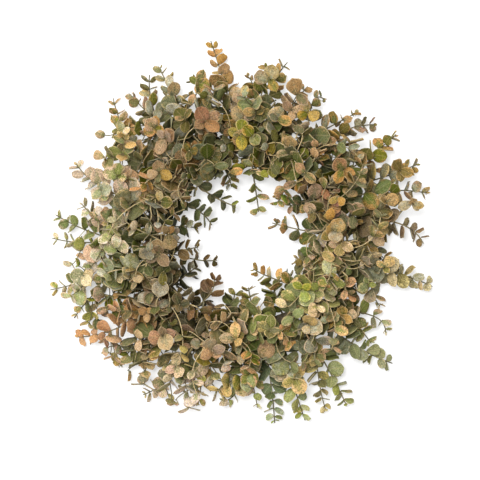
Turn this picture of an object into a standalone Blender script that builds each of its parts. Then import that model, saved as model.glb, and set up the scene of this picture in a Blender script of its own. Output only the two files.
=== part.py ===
"""Eucalyptus wreath, lying on its back with its front face up.

A twisted vine ring carries leafy sprays in three layers: outer sprays make the ragged outer edge,
inner sprays make the edge of the hole, and front sprays arch over the ring. Three wire ties round
the ring are its lowest points. Metres, +Z up, origin under the middle of the wreath.
"""
import math
import random
from typing import NamedTuple

import bmesh
import bpy
from mathutils import Vector
from mathutils.bvhtree import BVHTree

MM = 0.001

# Ring of three twisted vine strands
RING_RADIUS = 142 * MM
STRAND_CREST = 11 * MM
STRAND_VALLEY = 8 * MM
RING_STEPS = 48
STRANDS = 3
STRAND_TURNS = 4

# Wire ties round the ring
TIE_ANGLES = (92, 212, 332)
TIE_WIDTH = 3.2 * MM
TIE_THICKNESS = 2.2 * MM
TIE_SIDES = 10
SEAT_GAP = 0.35 * MM

RING_HEIGHT = TIE_THICKNESS + SEAT_GAP + STRAND_CREST

# Stems
STEM_SIDES = 4
STEM_ROOT_RADIUS = 1.7 * MM
STEM_TIP_RADIUS = 0.9 * MM
TWIG_RADIUS = 1.3 * MM
STEM_CLEARANCE = 0.6 * MM
STEM_SPIN_DEG = (22, 68)

# Each stem is tried up to this often, shifted by up to so much round the ring and in height
STEM_TRIES = 90
NUDGE_DEG = 8
NUDGE_DROP = 8 * MM
NUDGE_LIFT = 20 * MM

# A stem rises from the ring and eases into its tip over these shares of the way between them
RISE_SHARE = 0.30
TWIG_RISE_SHARE = 0.35
EASE_SHARE = 0.38
EASE_LIFT = 0.75
# Where a twig forks, as a share of its parent's bends, and how far that moves with one degree
FORK_SHARE = 0.30
FORK_STEP = 0.01

# Pairs of leaves along a stem, closer towards the tip
PAIR_PITCH = 30 * MM
FEWEST_PAIRS = 3
MOST_PAIRS = 6
FIRST_PAIR = 0.14
LAST_PAIR = 0.955
PAIR_CROWDING = 0.78

# Leaves: blade thickness, share of the length lost towards the tip, and clearances
LEAF_THICKNESS = 1.9 * MM
LEAF_TAPER = 0.64
LEAF_TAPER_POWER = 1.4
LEAF_CLEARANCE = 0.45 * MM
LEAF_FLOOR = 3.5 * MM
LEAF_TIP_FLOOR = 6.5 * MM
LEAF_SEED = 5

# Each leaf is drawn up to this often, turned, leaned and shrunk a little more each time
LEAF_TRIES = 14
LEAF_TURN_DEG = 6
LEAF_LEAN_STEP_DEG = 2.2
LEAF_SHRINK = 0.025

# Spread of the leaves: lean from the stem, length, and width and cup as shares of the length
LEAF_LEAN_DEG = (50, 74)
LEAF_LENGTH_SPREAD = (0.92, 1.08)
LEAF_WIDTH = (0.84, 1.0)
LEAF_CUP = (0.04, 0.13)
# How far a leaf faces up instead of back along its stem
LEAF_FACING = (0.5, 1.0)

# Half outline of a leaf blade: share of the length, share of the width, share of the cup
BLADE_HALF = ((0.28, 0.25, 0.2), (0.64, 0.50, 1.0), (1.0, 0.28, 0.8))
SMALL_BLADE_HALF = ((0.44, 0.45, 0.6), (1.0, 0.32, 1.0))
SMALL_LEAF = 21 * MM
BLADE_MIDDLE = 0.42

# A leaf starts inside its stem, this share of the stem's radius from the stem's own line
ROOT_SHIFT = 0.3
# Leaves of one spray may touch over this first share of their length
ROOT_SHARE = 0.22

# The hole stays open inside this radius round the ring's middle, but for the inner sprays' tips
HOLE_RADIUS = 88 * MM


class Tint(NamedTuple):
    """Base colour and roughness of one leaf tint."""
    colour: tuple
    roughness: float


TINTS = {
    "leaf_sage": Tint((0.20, 0.23, 0.13), 0.62),
    "leaf_olive": Tint((0.17, 0.17, 0.07), 0.60),
    "leaf_moss": Tint((0.07, 0.09, 0.035), 0.62),
    "leaf_gold": Tint((0.33, 0.27, 0.10), 0.58),
    "leaf_peach": Tint((0.38, 0.25, 0.14), 0.60),
    "leaf_cream": Tint((0.43, 0.34, 0.20), 0.60),
    "leaf_rust": Tint((0.27, 0.15, 0.07), 0.60),
    "leaf_rose": Tint((0.24, 0.15, 0.11), 0.62),
}


class Spray(NamedTuple):
    """One stem: angles in degrees round the ring, lengths in millimetres.

    root_deg is where it leaves the ring, or None for a twig that forks from the spray before it.
    tip_deg and reach_mm place its tip, heading_deg is the way the tip points, crest_mm and
    tip_mm are its height on the way and at the tip, and leaf_mm is its longest leaf.
    """
    root_deg: float
    tip_deg: float
    reach_mm: float
    heading_deg: float
    crest_mm: float
    tip_mm: float
    leaf_mm: float
    tint: str = ""


OUTER_SPRAYS = (
    Spray(94, 99, 311, 108, 30, 14, 46, "leaf_gold"),
    Spray(None, 108, 262, 150, 34, 22, 34),
    Spray(115, 116, 297, 117, 46, 16, 46, "leaf_peach"),
    Spray(128, 120, 293, 88, 28, 14, 45, "leaf_gold"),
    Spray(124, 128, 285, 133, 50, 24, 45, "leaf_peach"),
    Spray(144, 133, 297, 104, 30, 14, 46, "leaf_peach"),
    Spray(160, 156, 285, 126, 46, 14, 47, "leaf_peach"),
    Spray(None, 146, 232, 100, 40, 30, 41),
    Spray(176, 168, 256, 130, 30, 26, 46, "leaf_cream"),
    Spray(186, 173, 293, 150, 48, 14, 45, "leaf_gold"),
    Spray(None, 180, 296, 166, 28, 14, 36),
    Spray(196, 195, 309, 193, 28, 14, 47, "leaf_sage"),
    Spray(None, 205, 290, 236, 40, 14, 36),
    Spray(218, 211, 300, 182, 46, 14, 46, "leaf_rust"),
    Spray(226, 225, 276, 226, 30, 18, 47, "leaf_olive"),
    Spray(None, 234, 264, 246, 40, 20, 36),
    Spray(246, 238, 288, 204, 46, 14, 46, "leaf_cream"),
    Spray(253, 255, 268, 262, 28, 16, 46, "leaf_cream"),
    Spray(272, 264, 256, 204, 46, 20, 45, "leaf_olive"),
    Spray(None, 275, 264, 278, 34, 18, 36),
    Spray(282, 280, 291, 274, 26, 12, 43, "leaf_sage"),
    Spray(290, 289, 299, 289, 46, 12, 45, "leaf_olive"),
    Spray(304, 302, 306, 294, 30, 14, 46, "leaf_cream"),
    Spray(None, 296, 298, 290, 40, 14, 36),
    Spray(313, 320, 303, 340, 46, 14, 47, "leaf_sage"),
    Spray(326, 321, 258, 305, 30, 16, 45, "leaf_gold"),
    Spray(None, 327, 268, 275, 40, 16, 36),
    Spray(347, 346, 304, 336, 44, 14, 47, "leaf_sage"),
    Spray(None, 334, 238, 310, 34, 22, 41),
    Spray(9, 359, 282, 300, 30, 20, 45, "leaf_rust"),
    Spray(None, 352, 240, 20, 30, 16, 33),
    Spray(22, 14, 297, 350, 46, 14, 46, "leaf_olive"),
    Spray(26, 23, 297, 24, 28, 14, 46, "leaf_rose"),
    Spray(36, 34, 288, 42, 46, 14, 46, "leaf_gold"),
    Spray(54, 41, 273, 4, 28, 16, 43, "leaf_rose"),
    Spray(62, 48, 264, 30, 50, 20, 46, "leaf_olive"),
    Spray(None, 60, 252, 330, 44, 30, 34),
    Spray(72, 67, 257, 48, 30, 18, 47, "leaf_gold"),
    Spray(80, 76, 283, 50, 46, 14, 45, "leaf_gold"),
    Spray(86, 82, 270, 84, 52, 28, 46, "leaf_olive"),
    Spray(None, 88, 254, 128, 30, 20, 33),
)

INNER_SPRAYS = (
    Spray(84, 60, 50, 277, 44, 34, 37, "leaf_olive"),
    Spray(106, 102, 84, 280, 30, 20, 37, "leaf_moss"),
    Spray(132, 104, 52, 342, 46, 40, 37, "leaf_peach"),
    Spray(150, 155, 54, 300, 36, 26, 39, "leaf_sage"),
    Spray(172, 167, 76, 350, 30, 20, 37, "leaf_moss"),
    Spray(190, 191, 72, 11, 48, 34, 39, "leaf_olive"),
    Spray(None, 219, 54, 8, 30, 24, 28),
    Spray(212, 212, 88, 34, 30, 20, 37, "leaf_moss"),
    Spray(236, 234, 76, 108, 46, 40, 41, "leaf_peach"),
    Spray(258, 262, 86, 84, 30, 20, 39, "leaf_sage"),
    Spray(279, 277, 78, 98, 48, 38, 39, "leaf_olive"),
    Spray(298, 302, 86, 118, 30, 20, 37, "leaf_moss"),
    Spray(320, 291, 52, 150, 46, 30, 39, "leaf_sage"),
    Spray(None, 320, 86, 130, 34, 26, 31),
    Spray(342, 338, 90, 160, 30, 20, 39, "leaf_olive"),
    Spray(6, 26, 54, 164, 44, 30, 41, "leaf_cream"),
    Spray(28, 34, 90, 215, 30, 20, 37, "leaf_rose"),
    Spray(56, 46, 78, 230, 44, 30, 39, "leaf_olive"),
)

# Front sprays follow one rule round the ring, with their draws seeded
FRONT_SEED = 71
FRONT_COUNT = 11
FRONT_FIRST_DEG = 14
FRONT_ROOT_SPREAD_DEG = 5
FRONT_TINTS = ("leaf_rose", "leaf_olive", "leaf_gold", "leaf_olive", "leaf_peach", "leaf_sage",
               "leaf_cream", "leaf_rust", "leaf_peach", "leaf_sage", "leaf_cream")
FRONT_SWEEP_DEG = (24, 40)
FRONT_TURN_DEG = (50, 90)
FRONT_REACH = (158, 200)
# Every third one reaches into the hole
FRONT_INNER_REACH = (112, 126)
FRONT_CREST = (70, 86)
FRONT_TIP_HEIGHT = (50, 72)
FRONT_LEAF = 47

# Forks on every second front spray: turned from it, and a little lower with a higher tip
FRONT_FORK_SWEEP = 0.4
FRONT_FORK_TURN_DEG = 60
FRONT_FORK_REACH = (150, 190)
FRONT_FORK_DROP = 10
FRONT_FORK_TIP_LIFT = 6
FRONT_FORK_LEAF = 34

# Angle round the vine section where each layer's stems leave it: 0 outward, 90 up, 180 inward
ROOT_LOW_DEG = 8
ROOT_HIGH_DEG = 48
ROOT_FRONT_DEG = 90
ROOT_INNER_LOW_DEG = 172
ROOT_INNER_HIGH_DEG = 132
HIGH_CREST_MM = 40


class Stem(NamedTuple):
    """A planned stem.

    It has its bend points and the radius at each, the shares of its length where it bends and
    where its pairs of leaves grow, its turn about its own line, and its longest leaf.
    """
    points: list
    radii: list
    bends: list
    pairs: list
    spin: float
    leaf_length: float


class Leaf(NamedTuple):
    """A planned leaf: where it roots in the stem, its directions, and its sizes."""
    root: Vector
    along: Vector
    normal: Vector
    length: float
    width: float
    cup: float


def polar(radius, degrees, height=0.0):
    """Point at a distance and an angle from the ring's middle."""
    angle = math.radians(degrees)
    return Vector((radius * math.cos(angle), radius * math.sin(angle), height))


def unit(vector, fallback=Vector((0, 0, 1))):
    """Vector of length one, or the fallback for a vector too short to turn into one."""
    return vector.normalized() if vector.length > 1e-9 else fallback.copy()


def bezier(points, share):
    """Point on a cubic curve with four control points."""
    a, b, c, d = points
    rest = 1.0 - share
    return a * rest ** 3 + b * 3 * rest * rest * share + c * 3 * rest * share * share + d * share ** 3


def ring_shell():
    """Vertices and triangles of the twisted vine ring."""
    corners = 2 * STRANDS
    vertices = []
    for step in range(RING_STEPS):
        turn = 360.0 * step / RING_STEPS
        for corner in range(corners):
            angle = math.radians(turn * STRAND_TURNS) + math.tau * corner / corners
            radius = STRAND_VALLEY if corner % 2 else STRAND_CREST
            out = RING_RADIUS + radius * math.cos(angle)
            vertices.append(polar(out, turn, RING_HEIGHT + radius * math.sin(angle)))
    faces = []
    for step in range(RING_STEPS):
        here, there = step * corners, (step + 1) % RING_STEPS * corners
        for corner in range(corners):
            after = (corner + 1) % corners
            faces.append((here + corner, there + corner, there + after))
            faces.append((here + corner, there + after, here + after))
    return vertices, faces


def tie_shell(degrees):
    """Vertices and quads of a square-section wire loop round the vine ring."""
    inner = (STRAND_CREST + SEAT_GAP) / math.cos(math.pi / TIE_SIDES)
    outer = (STRAND_CREST + SEAT_GAP + TIE_THICKNESS) / math.cos(math.pi / TIE_SIDES)
    half = TIE_WIDTH / 2
    around = polar(1, degrees + 90)
    vertices = []
    for side in range(TIE_SIDES):
        angle = math.tau * (side + 0.5) / TIE_SIDES - math.pi / 2
        for radius, offset in ((inner, -half), (outer, -half), (outer, half), (inner, half)):
            point = polar(RING_RADIUS + radius * math.cos(angle), degrees)
            point.z = RING_HEIGHT + radius * math.sin(angle)
            vertices.append(point + around * offset)
    faces = []
    for side in range(TIE_SIDES):
        here, there = side * 4, (side + 1) % TIE_SIDES * 4
        for corner in range(4):
            after = (corner + 1) % 4
            faces.append((here + corner, there + corner, there + after, here + after))
    return vertices, faces


def stem_frames(points, spin):
    """Two directions across a stem at each of its points, carried along it without twist."""
    tangents = []
    for index in range(len(points)):
        before, after = points[max(index - 1, 0)], points[min(index + 1, len(points) - 1)]
        tangents.append(unit(after - before))
    side = unit(tangents[-1].cross(Vector((0, 0, 1))), Vector((1, 0, 0)))
    side = side * math.cos(spin) + tangents[-1].cross(side) * math.sin(spin)
    frames = []
    for tangent in reversed(tangents):
        side = unit(side - tangent * side.dot(tangent), Vector((1, 0, 0)))
        frames.append((side, tangent.cross(side)))
    return frames[::-1]


def tube_shell(points, radii, spin=0.0, grow=0.0):
    """Vertices and faces of a closed tube through the points, its flats facing its frames."""
    vertices = []
    for point, radius, (side, other) in zip(points, radii, stem_frames(points, spin)):
        for corner in range(STEM_SIDES):
            angle = math.tau * (corner + 0.5) / STEM_SIDES
            spoke = side * math.cos(angle) + other * math.sin(angle)
            vertices.append(point + spoke * (radius + grow))
    faces = [tuple(reversed(range(STEM_SIDES)))]
    for step in range(len(points) - 1):
        for corner in range(STEM_SIDES):
            after = (corner + 1) % STEM_SIDES
            low, high = step * STEM_SIDES, (step + 1) * STEM_SIDES
            faces.append((low + corner, low + after, high + after, high + corner))
    last = (len(points) - 1) * STEM_SIDES
    faces.append(tuple(range(last, last + STEM_SIDES)))
    return vertices, faces


def leaf_outline(leaf, start=0.0, grow=0.0):
    """Rim of a leaf from its root round the right side and back down the left."""
    side = leaf.normal.cross(leaf.along)
    right, left = [], []
    half = BLADE_HALF if leaf.length > SMALL_LEAF else SMALL_BLADE_HALF
    for length_share, width_share, cup_share in half:
        middle = leaf.root + leaf.along * (leaf.length * length_share + grow * (length_share - start))
        middle = middle + leaf.normal * (leaf.cup * cup_share)
        spread = side * (leaf.width * width_share + grow)
        right.append(middle + spread)
        left.append(middle - spread)
    root = leaf.root + leaf.along * leaf.length * start
    return [root] + right + left[::-1]


def leaf_shell(leaf):
    """Vertices and triangles of a leaf, a cupped lens with its root sunk in the stem."""
    rim = leaf_outline(leaf)
    middle = leaf.root + leaf.along * (leaf.length * BLADE_MIDDLE)
    vertices = rim + [middle + leaf.normal * (LEAF_THICKNESS / 2),
                      middle - leaf.normal * (LEAF_THICKNESS / 2)]
    count = len(rim)
    faces = []
    for index in range(count):
        after = (index + 1) % count
        faces.append((index, after, count))
        faces.append((after, index, count + 1))
    return vertices, faces


def leaf_guard(leaf, start, grow):
    """Search tree of a leaf's shell, grown by a clearance and cut short near its root."""
    rim = leaf_outline(leaf, start, grow)
    middle = leaf.root + leaf.along * (leaf.length * BLADE_MIDDLE)
    count = len(rim)
    lift = leaf.normal * (grow + 0.1 * MM)
    swell = leaf.normal * (grow + LEAF_THICKNESS / 2)
    vertices = [p + lift for p in rim] + [p - lift for p in rim] + [middle + swell, middle - swell]
    faces = []
    for index in range(count):
        after = (index + 1) % count
        faces.append((index, after, 2 * count))
        faces.append((count + after, count + index, 2 * count + 1))
        faces.append((index, count + index, count + after))
        faces.append((index, count + after, after))
    return BVHTree.FromPolygons(vertices, faces)


def tree_of(shell):
    """Search tree of a shell's vertices and faces."""
    vertices, faces = shell
    return BVHTree.FromPolygons(vertices, faces)


def merged(shells):
    """One list of vertices and faces from several shells."""
    vertices, faces = [], []
    for shell_vertices, shell_faces in shells:
        offset = len(vertices)
        vertices.extend(shell_vertices)
        faces.extend(tuple(i + offset for i in face) for face in shell_faces)
    return vertices, faces


def section_point(degrees, section_deg):
    """Point and outward direction at an angle round the vine section."""
    angle = math.radians(section_deg)
    spoke = polar(math.cos(angle), degrees)
    spoke.z = math.sin(angle)
    return polar(RING_RADIUS, degrees, RING_HEIGHT), spoke


def seat_on_ring(curve, ring_tree, spoke):
    """Move a stem's first control point so that its cut end sits just off the vine."""
    start = (curve[1] - curve[0]).normalized()
    side = unit(start.cross(Vector((0, 0, 1))), Vector((1, 0, 0)))
    other = start.cross(side)
    far = 30 * MM
    least = None
    for corner in range(STEM_SIDES):
        angle = math.tau * corner / STEM_SIDES
        spread = side * math.cos(angle) + other * math.sin(angle)
        point = curve[0] + spread * STEM_ROOT_RADIUS
        hit = ring_tree.ray_cast(point + spoke * far, -spoke)
        if hit[0] is not None:
            clear = hit[3] - far
            least = clear if least is None else min(least, clear)
    move = spoke * (SEAT_GAP - least)
    return [curve[0] + move, curve[1] + move, curve[2], curve[3]]


def pair_shares(length):
    """Shares of a stem's length where its pairs of leaves grow, closer towards the tip."""
    count = max(FEWEST_PAIRS, min(MOST_PAIRS, round(length / PAIR_PITCH)))
    span = LAST_PAIR - FIRST_PAIR
    return [FIRST_PAIR + span * (index / (count - 1)) ** PAIR_CROWDING for index in range(count)]


def stem_from_curve(curve, leaf_length, root_radius, spin):
    """Stem with its bends half way between pairs of leaves."""
    length = sum((bezier(curve, (i + 1) / 12) - bezier(curve, i / 12)).length for i in range(12))
    pairs = pair_shares(length)
    bends = [0.0] + [(a + b) / 2 for a, b in zip(pairs[0::2], pairs[1::2])] + [1.0]
    points = [bezier(curve, bend) for bend in bends]
    radii = [root_radius + (STEM_TIP_RADIUS - root_radius) * bend for bend in bends]
    return Stem(points, radii, bends, pairs, spin, leaf_length)


def spray_section(spray, layer):
    """Angle round the vine section where a spray leaves it."""
    if layer == "front":
        return ROOT_FRONT_DEG
    high = spray.crest_mm > HIGH_CREST_MM
    if layer == "inner":
        return ROOT_INNER_HIGH_DEG if high else ROOT_INNER_LOW_DEG
    return ROOT_HIGH_DEG if high else ROOT_LOW_DEG


def main_curve(spray, layer, nudge, ring_tree):
    """Control points of a spray's main stem, shifted a little on each new try."""
    tip = polar(spray.reach_mm * MM, spray.tip_deg, spray.tip_mm * MM)
    heading = polar(1, spray.heading_deg)
    centre, spoke = section_point(spray.root_deg + nudge[0], spray_section(spray, layer))
    root = centre + spoke * STRAND_CREST
    span = (tip - root).length
    rise = centre + spoke * (STRAND_CREST + span * RISE_SHARE)
    rise.z = max(rise.z, spray.crest_mm * MM + nudge[1])
    ease = tip - heading * (span * EASE_SHARE)
    ease.z = tip.z + (spray.crest_mm * MM - tip.z) * EASE_LIFT + nudge[1]
    return seat_on_ring([root, rise, ease, tip], ring_tree, spoke)


def twig_curve(spray, parent, nudge):
    """Control points of a twig that forks from its parent stem."""
    share = FORK_SHARE + nudge[0] * FORK_STEP
    at = share * (len(parent.points) - 1)
    index = min(int(at), len(parent.points) - 2)
    root = parent.points[index].lerp(parent.points[index + 1], at - index)
    tip = polar(spray.reach_mm * MM, spray.tip_deg, spray.tip_mm * MM)
    heading = polar(1, spray.heading_deg)
    span = (tip - root).length
    along = unit(parent.points[index + 1] - parent.points[index])
    rise = root + (along + unit(tip - root)) / 2 * (span * TWIG_RISE_SHARE)
    rise.z = (rise.z + spray.crest_mm * MM) / 2 + nudge[1]
    ease = tip - heading * (span * EASE_SHARE)
    ease.z = (tip.z + spray.crest_mm * MM) / 2 + nudge[1]
    return [root, rise, ease, tip]


def nudges(draw):
    """Small shifts to try in turn: degrees round the ring, and height."""
    yield 0.0, 0.0
    for attempt in range(1, STEM_TRIES):
        reach = attempt / STEM_TRIES
        yield (draw.uniform(-NUDGE_DEG, NUDGE_DEG) * reach,
               draw.uniform(-NUDGE_DROP, NUDGE_LIFT) * reach)


def front_sprays():
    """Front sprays round the ring, with a short fork on every second one."""
    draw = random.Random(FRONT_SEED)
    rows = []
    for index in range(FRONT_COUNT):
        way = 1 if index % 2 else -1
        spread = draw.uniform(-FRONT_ROOT_SPREAD_DEG, FRONT_ROOT_SPREAD_DEG)
        root = FRONT_FIRST_DEG + 360.0 * index / FRONT_COUNT + spread
        sweep = draw.uniform(*FRONT_SWEEP_DEG) * way
        reach = draw.uniform(*(FRONT_REACH if index % 3 else FRONT_INNER_REACH))
        turn = draw.uniform(*FRONT_TURN_DEG) * way
        crest = draw.uniform(*FRONT_CREST)
        tip = draw.uniform(*FRONT_TIP_HEIGHT)
        heading = root + turn if reach > RING_RADIUS / MM else root + 180 - turn
        rows.append(Spray(root, root + sweep, reach, heading, crest, tip, FRONT_LEAF,
                          FRONT_TINTS[index]))
        if index % 2 == 0:
            rows.append(Spray(None, root - sweep * FRONT_FORK_SWEEP,
                              draw.uniform(*FRONT_FORK_REACH), heading + FRONT_FORK_TURN_DEG,
                              crest - FRONT_FORK_DROP, tip + FRONT_FORK_TIP_LIFT,
                              FRONT_FORK_LEAF))
    return rows


def plan_stems(rows, layer, ring_tree, taken, draw):
    """Stems of one layer, each clear of those before it, grouped by spray."""
    groups = []
    for row in rows:
        fork = row.root_deg is None
        others = [tree for tree in taken if not fork or tree not in groups[-1]["stem_trees"]]
        spin = math.radians(draw.uniform(*STEM_SPIN_DEG))
        best = None
        for nudge in nudges(draw):
            if fork:
                curve = twig_curve(row, groups[-1]["stems"][0], nudge)
            else:
                curve = main_curve(row, layer, nudge, ring_tree)
            radius = TWIG_RADIUS if fork else STEM_ROOT_RADIUS
            stem = stem_from_curve(curve, row.leaf_mm * MM, radius, spin)
            guard = tree_of(tube_shell(stem.points, stem.radii, spin, STEM_CLEARANCE))
            body = tree_of(tube_shell(stem.points, stem.radii, spin))
            hits = sum(len(guard.overlap(tree)) for tree in others)
            hits += 10 * len(body.overlap(ring_tree))
            if best is None or hits < best[0]:
                best = (hits, stem, body)
            if hits == 0:
                break
        if not fork:
            groups.append({"stems": [], "stem_trees": [], "tint": row.tint, "layer": layer})
        groups[-1]["stems"].append(best[1])
        groups[-1]["stem_trees"].append(best[2])
        taken.append(best[2])
    return groups


def place_at(stem, share):
    """Point, direction, radius and cross direction on a stem's straight runs."""
    index = 0
    while index < len(stem.bends) - 2 and share > stem.bends[index + 1]:
        index += 1
    part = (share - stem.bends[index]) / (stem.bends[index + 1] - stem.bends[index])
    point = stem.points[index].lerp(stem.points[index + 1], part)
    radius = stem.radii[index] + (stem.radii[index + 1] - stem.radii[index]) * part
    tangent = unit(stem.points[index + 1] - stem.points[index])
    frames = stem_frames(stem.points, stem.spin)
    side = frames[index][0].lerp(frames[index + 1][0], part)
    side = unit(side - tangent * side.dot(tangent))
    return point, tangent, radius, side


def draw_leaf(stem, place, share, azimuth, attempt, draw):
    """One leaf at an angle round its stem, turned and shrunk a little on each new try."""
    point, tangent, radius, side = place
    turn = azimuth + math.radians(draw.uniform(-LEAF_TURN_DEG, LEAF_TURN_DEG) * attempt)
    spoke = side * math.cos(turn) + tangent.cross(side) * math.sin(turn)
    lean = draw.uniform(*LEAF_LEAN_DEG) - draw.uniform(0, LEAF_LEAN_STEP_DEG) * attempt
    lean = math.radians(lean)
    along = unit(tangent * math.cos(lean) + spoke * math.sin(lean))
    length = stem.leaf_length * (1 - LEAF_TAPER * share ** LEAF_TAPER_POWER)
    length *= draw.uniform(*LEAF_LENGTH_SPREAD) * (1 - LEAF_SHRINK * attempt)
    lowest = (LEAF_TIP_FLOOR - point.z) / length
    if along.z < lowest:
        along = unit(Vector((along.x, along.y, 0)), side)
        along = unit(along * math.sqrt(max(0.05, 1 - lowest * lowest)) + Vector((0, 0, lowest)))
    natural = unit(tangent - along * tangent.dot(along), side)
    facing = unit(Vector((0, 0, 1)) - along * along.z, tangent)
    blend = draw.uniform(*LEAF_FACING)
    if natural.z < 0:
        natural = -natural
    normal = unit(natural * (1 - blend) + facing * blend, facing)
    normal = unit(normal - along * normal.dot(along), facing)
    width = length * draw.uniform(*LEAF_WIDTH)
    cup = length * draw.uniform(*LEAF_CUP)
    root = point + along * (radius * ROOT_SHIFT)
    return Leaf(root, along, normal, length, width, cup)


def plan_leaves(groups, ring_tree, tie_trees, draw):
    """Leaves of every spray, each clear of the ring, the ties and all other sprays."""
    for group in groups:
        fixed = [ring_tree] + tie_trees
        for other in groups:
            if other is not group:
                fixed.extend(other["stem_trees"])
                fixed.extend(other.get("leaf_trees", []))
        group["leaves"] = []
        own, shells = [], []
        for stem in group["stems"]:
            for index, share in enumerate(stem.pairs):
                place = place_at(stem, share)
                for half_turn in (0, 180):
                    azimuth = math.radians(90 * (index % 2) + half_turn)
                    for attempt in range(LEAF_TRIES):
                        leaf = draw_leaf(stem, place, share, azimuth, attempt, draw)
                        blade = leaf_shell(leaf)
                        if min(point.z for point in blade[0]) < LEAF_FLOOR:
                            continue
                        nearest = min(point.xy.length for point in blade[0])
                        if group["layer"] != "inner" and nearest < HOLE_RADIUS:
                            continue
                        guard = leaf_guard(leaf, 0.0, LEAF_CLEARANCE)
                        if any(guard.overlap(tree) for tree in fixed):
                            continue
                        beyond_root = leaf_guard(leaf, ROOT_SHARE, 0.0)
                        if any(beyond_root.overlap(tree) for tree in own):
                            continue
                        own.append(beyond_root)
                        group["leaves"].append(leaf)
                        shells.append(blade)
                        break
        group["leaf_trees"] = [tree_of(merged(shells))]


def plan_wreath():
    """All sprays of the wreath, with stems and leaves placed clear of each other."""
    ring_tree = tree_of(ring_shell())
    tie_trees = [tree_of(tie_shell(degrees)) for degrees in TIE_ANGLES]
    taken = tie_trees[:]
    groups = []
    for rows, layer in ((OUTER_SPRAYS, "outer"), (INNER_SPRAYS, "inner"),
                        (front_sprays(), "front")):
        groups.extend(plan_stems(rows, layer, ring_tree, taken, random.Random(len(rows))))
    plan_leaves(groups, ring_tree, tie_trees, random.Random(LEAF_SEED))
    return groups


def material(name, colour, roughness, metallic=0.0):
    """Plain material in the part's own colour."""
    made = bpy.data.materials.new(name)
    made.use_nodes = True
    shader = made.node_tree.nodes["Principled BSDF"]
    shader.inputs["Base Color"].default_value = (*colour, 1.0)
    shader.inputs["Roughness"].default_value = roughness
    shader.inputs["Metallic"].default_value = metallic
    made.diffuse_color = (*colour, 1.0)
    return made


def mesh_object(name, shell, collection):
    """Object with a closed mesh whose faces point outward."""
    vertices, faces = shell
    mesh = bpy.data.meshes.new(name)
    mesh.from_pydata([tuple(v) for v in vertices], [], faces)
    shape = bmesh.new()
    shape.from_mesh(mesh)
    bmesh.ops.recalc_face_normals(shape, faces=shape.faces)
    shape.to_mesh(mesh)
    shape.free()
    made = bpy.data.objects.new(name, mesh)
    collection.objects.link(made)
    return made


def fuse(target, pieces):
    """Join the pieces to the target by one Boolean union, and remove them."""
    scene = bpy.context.scene.collection
    parts = bpy.data.collections.new(target.name + "_parts")
    scene.children.link(parts)
    for piece in pieces:
        parts.objects.link(piece)
        scene.objects.unlink(piece)
    union = target.modifiers.new("union", "BOOLEAN")
    union.operation = "UNION"
    union.operand_type = "COLLECTION"
    union.solver = "EXACT"
    union.collection = parts
    bpy.context.view_layer.update()
    graph = bpy.context.evaluated_depsgraph_get()
    joined = bpy.data.meshes.new_from_object(target.evaluated_get(graph))
    target.modifiers.remove(union)
    plain = target.data
    target.data = joined
    joined.name = target.name
    bpy.data.meshes.remove(plain)
    for piece in pieces:
        mesh = piece.data
        bpy.data.objects.remove(piece)
        bpy.data.meshes.remove(mesh)
    bpy.data.collections.remove(parts)


def build_spray(name, group, finish):
    """One spray: its stem and twigs with every leaf fused to them."""
    scene = bpy.context.scene.collection
    shells = [tube_shell(stem.points, stem.radii, stem.spin) for stem in group["stems"]]
    stem = mesh_object(name, shells[0], scene)
    pieces = [mesh_object(name + "_twig", shell, scene) for shell in shells[1:]]
    pieces += [mesh_object(name + "_leaf", leaf_shell(leaf), scene) for leaf in group["leaves"]]
    fuse(stem, pieces)
    stem.data.materials.clear()
    stem.data.materials.append(finish)
    return stem


def stand_on_origin(objects):
    """Carry everything on one empty, placed so that the origin is under the wreath's middle."""
    corners = [vertex.co for made in objects for vertex in made.data.vertices]
    low = [min(corner[axis] for corner in corners) for axis in range(3)]
    high = [max(corner[axis] for corner in corners) for axis in range(3)]
    wreath = bpy.data.objects.new("wreath", None)
    bpy.context.scene.collection.objects.link(wreath)
    wreath.location = (-(low[0] + high[0]) / 2, -(low[1] + high[1]) / 2, -low[2])
    for made in objects:
        made.parent = wreath


def main():
    for old in list(bpy.data.objects):
        bpy.data.objects.remove(old)
    scene = bpy.context.scene.collection
    ring = mesh_object("twig_ring", ring_shell(), scene)
    ring.data.materials.append(material("twig_bark", (0.10, 0.07, 0.035), 0.85))
    wire = material("tie_wire", (0.09, 0.10, 0.06), 0.45, 0.6)
    made = [ring]
    for number, degrees in enumerate(TIE_ANGLES, 1):
        tie = mesh_object(f"wire_tie_{number}", tie_shell(degrees), scene)
        tie.data.materials.append(wire)
        made.append(tie)
    finishes = {name: material(name, *tint) for name, tint in TINTS.items()}
    numbers = {}
    for group in plan_wreath():
        layer = group["layer"]
        numbers[layer] = numbers.get(layer, 0) + 1
        name = f"{layer}_spray_{numbers[layer]:02d}"
        made.append(build_spray(name, group, finishes[group["tint"]]))
    stand_on_origin(made)


main()
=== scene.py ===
"""Eucalyptus wreath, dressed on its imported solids.

Every leafy spray stands in for its solid: a wiry stem on the solid's own line, pairs of thin cupped
leaves where the solid has them, more pairs between those, and side twigs that thicken the wreath.
The twisted vine ring and its wire ties are modelled under them. Metres, +Z out of the front face.
"""

import math
import random
from typing import NamedTuple

import bpy
import numpy as np
from bpy.props import FloatProperty, FloatVectorProperty, PointerProperty
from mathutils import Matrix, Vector
from mathutils.bvhtree import BVHTree
from mathutils.noise import noise


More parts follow.
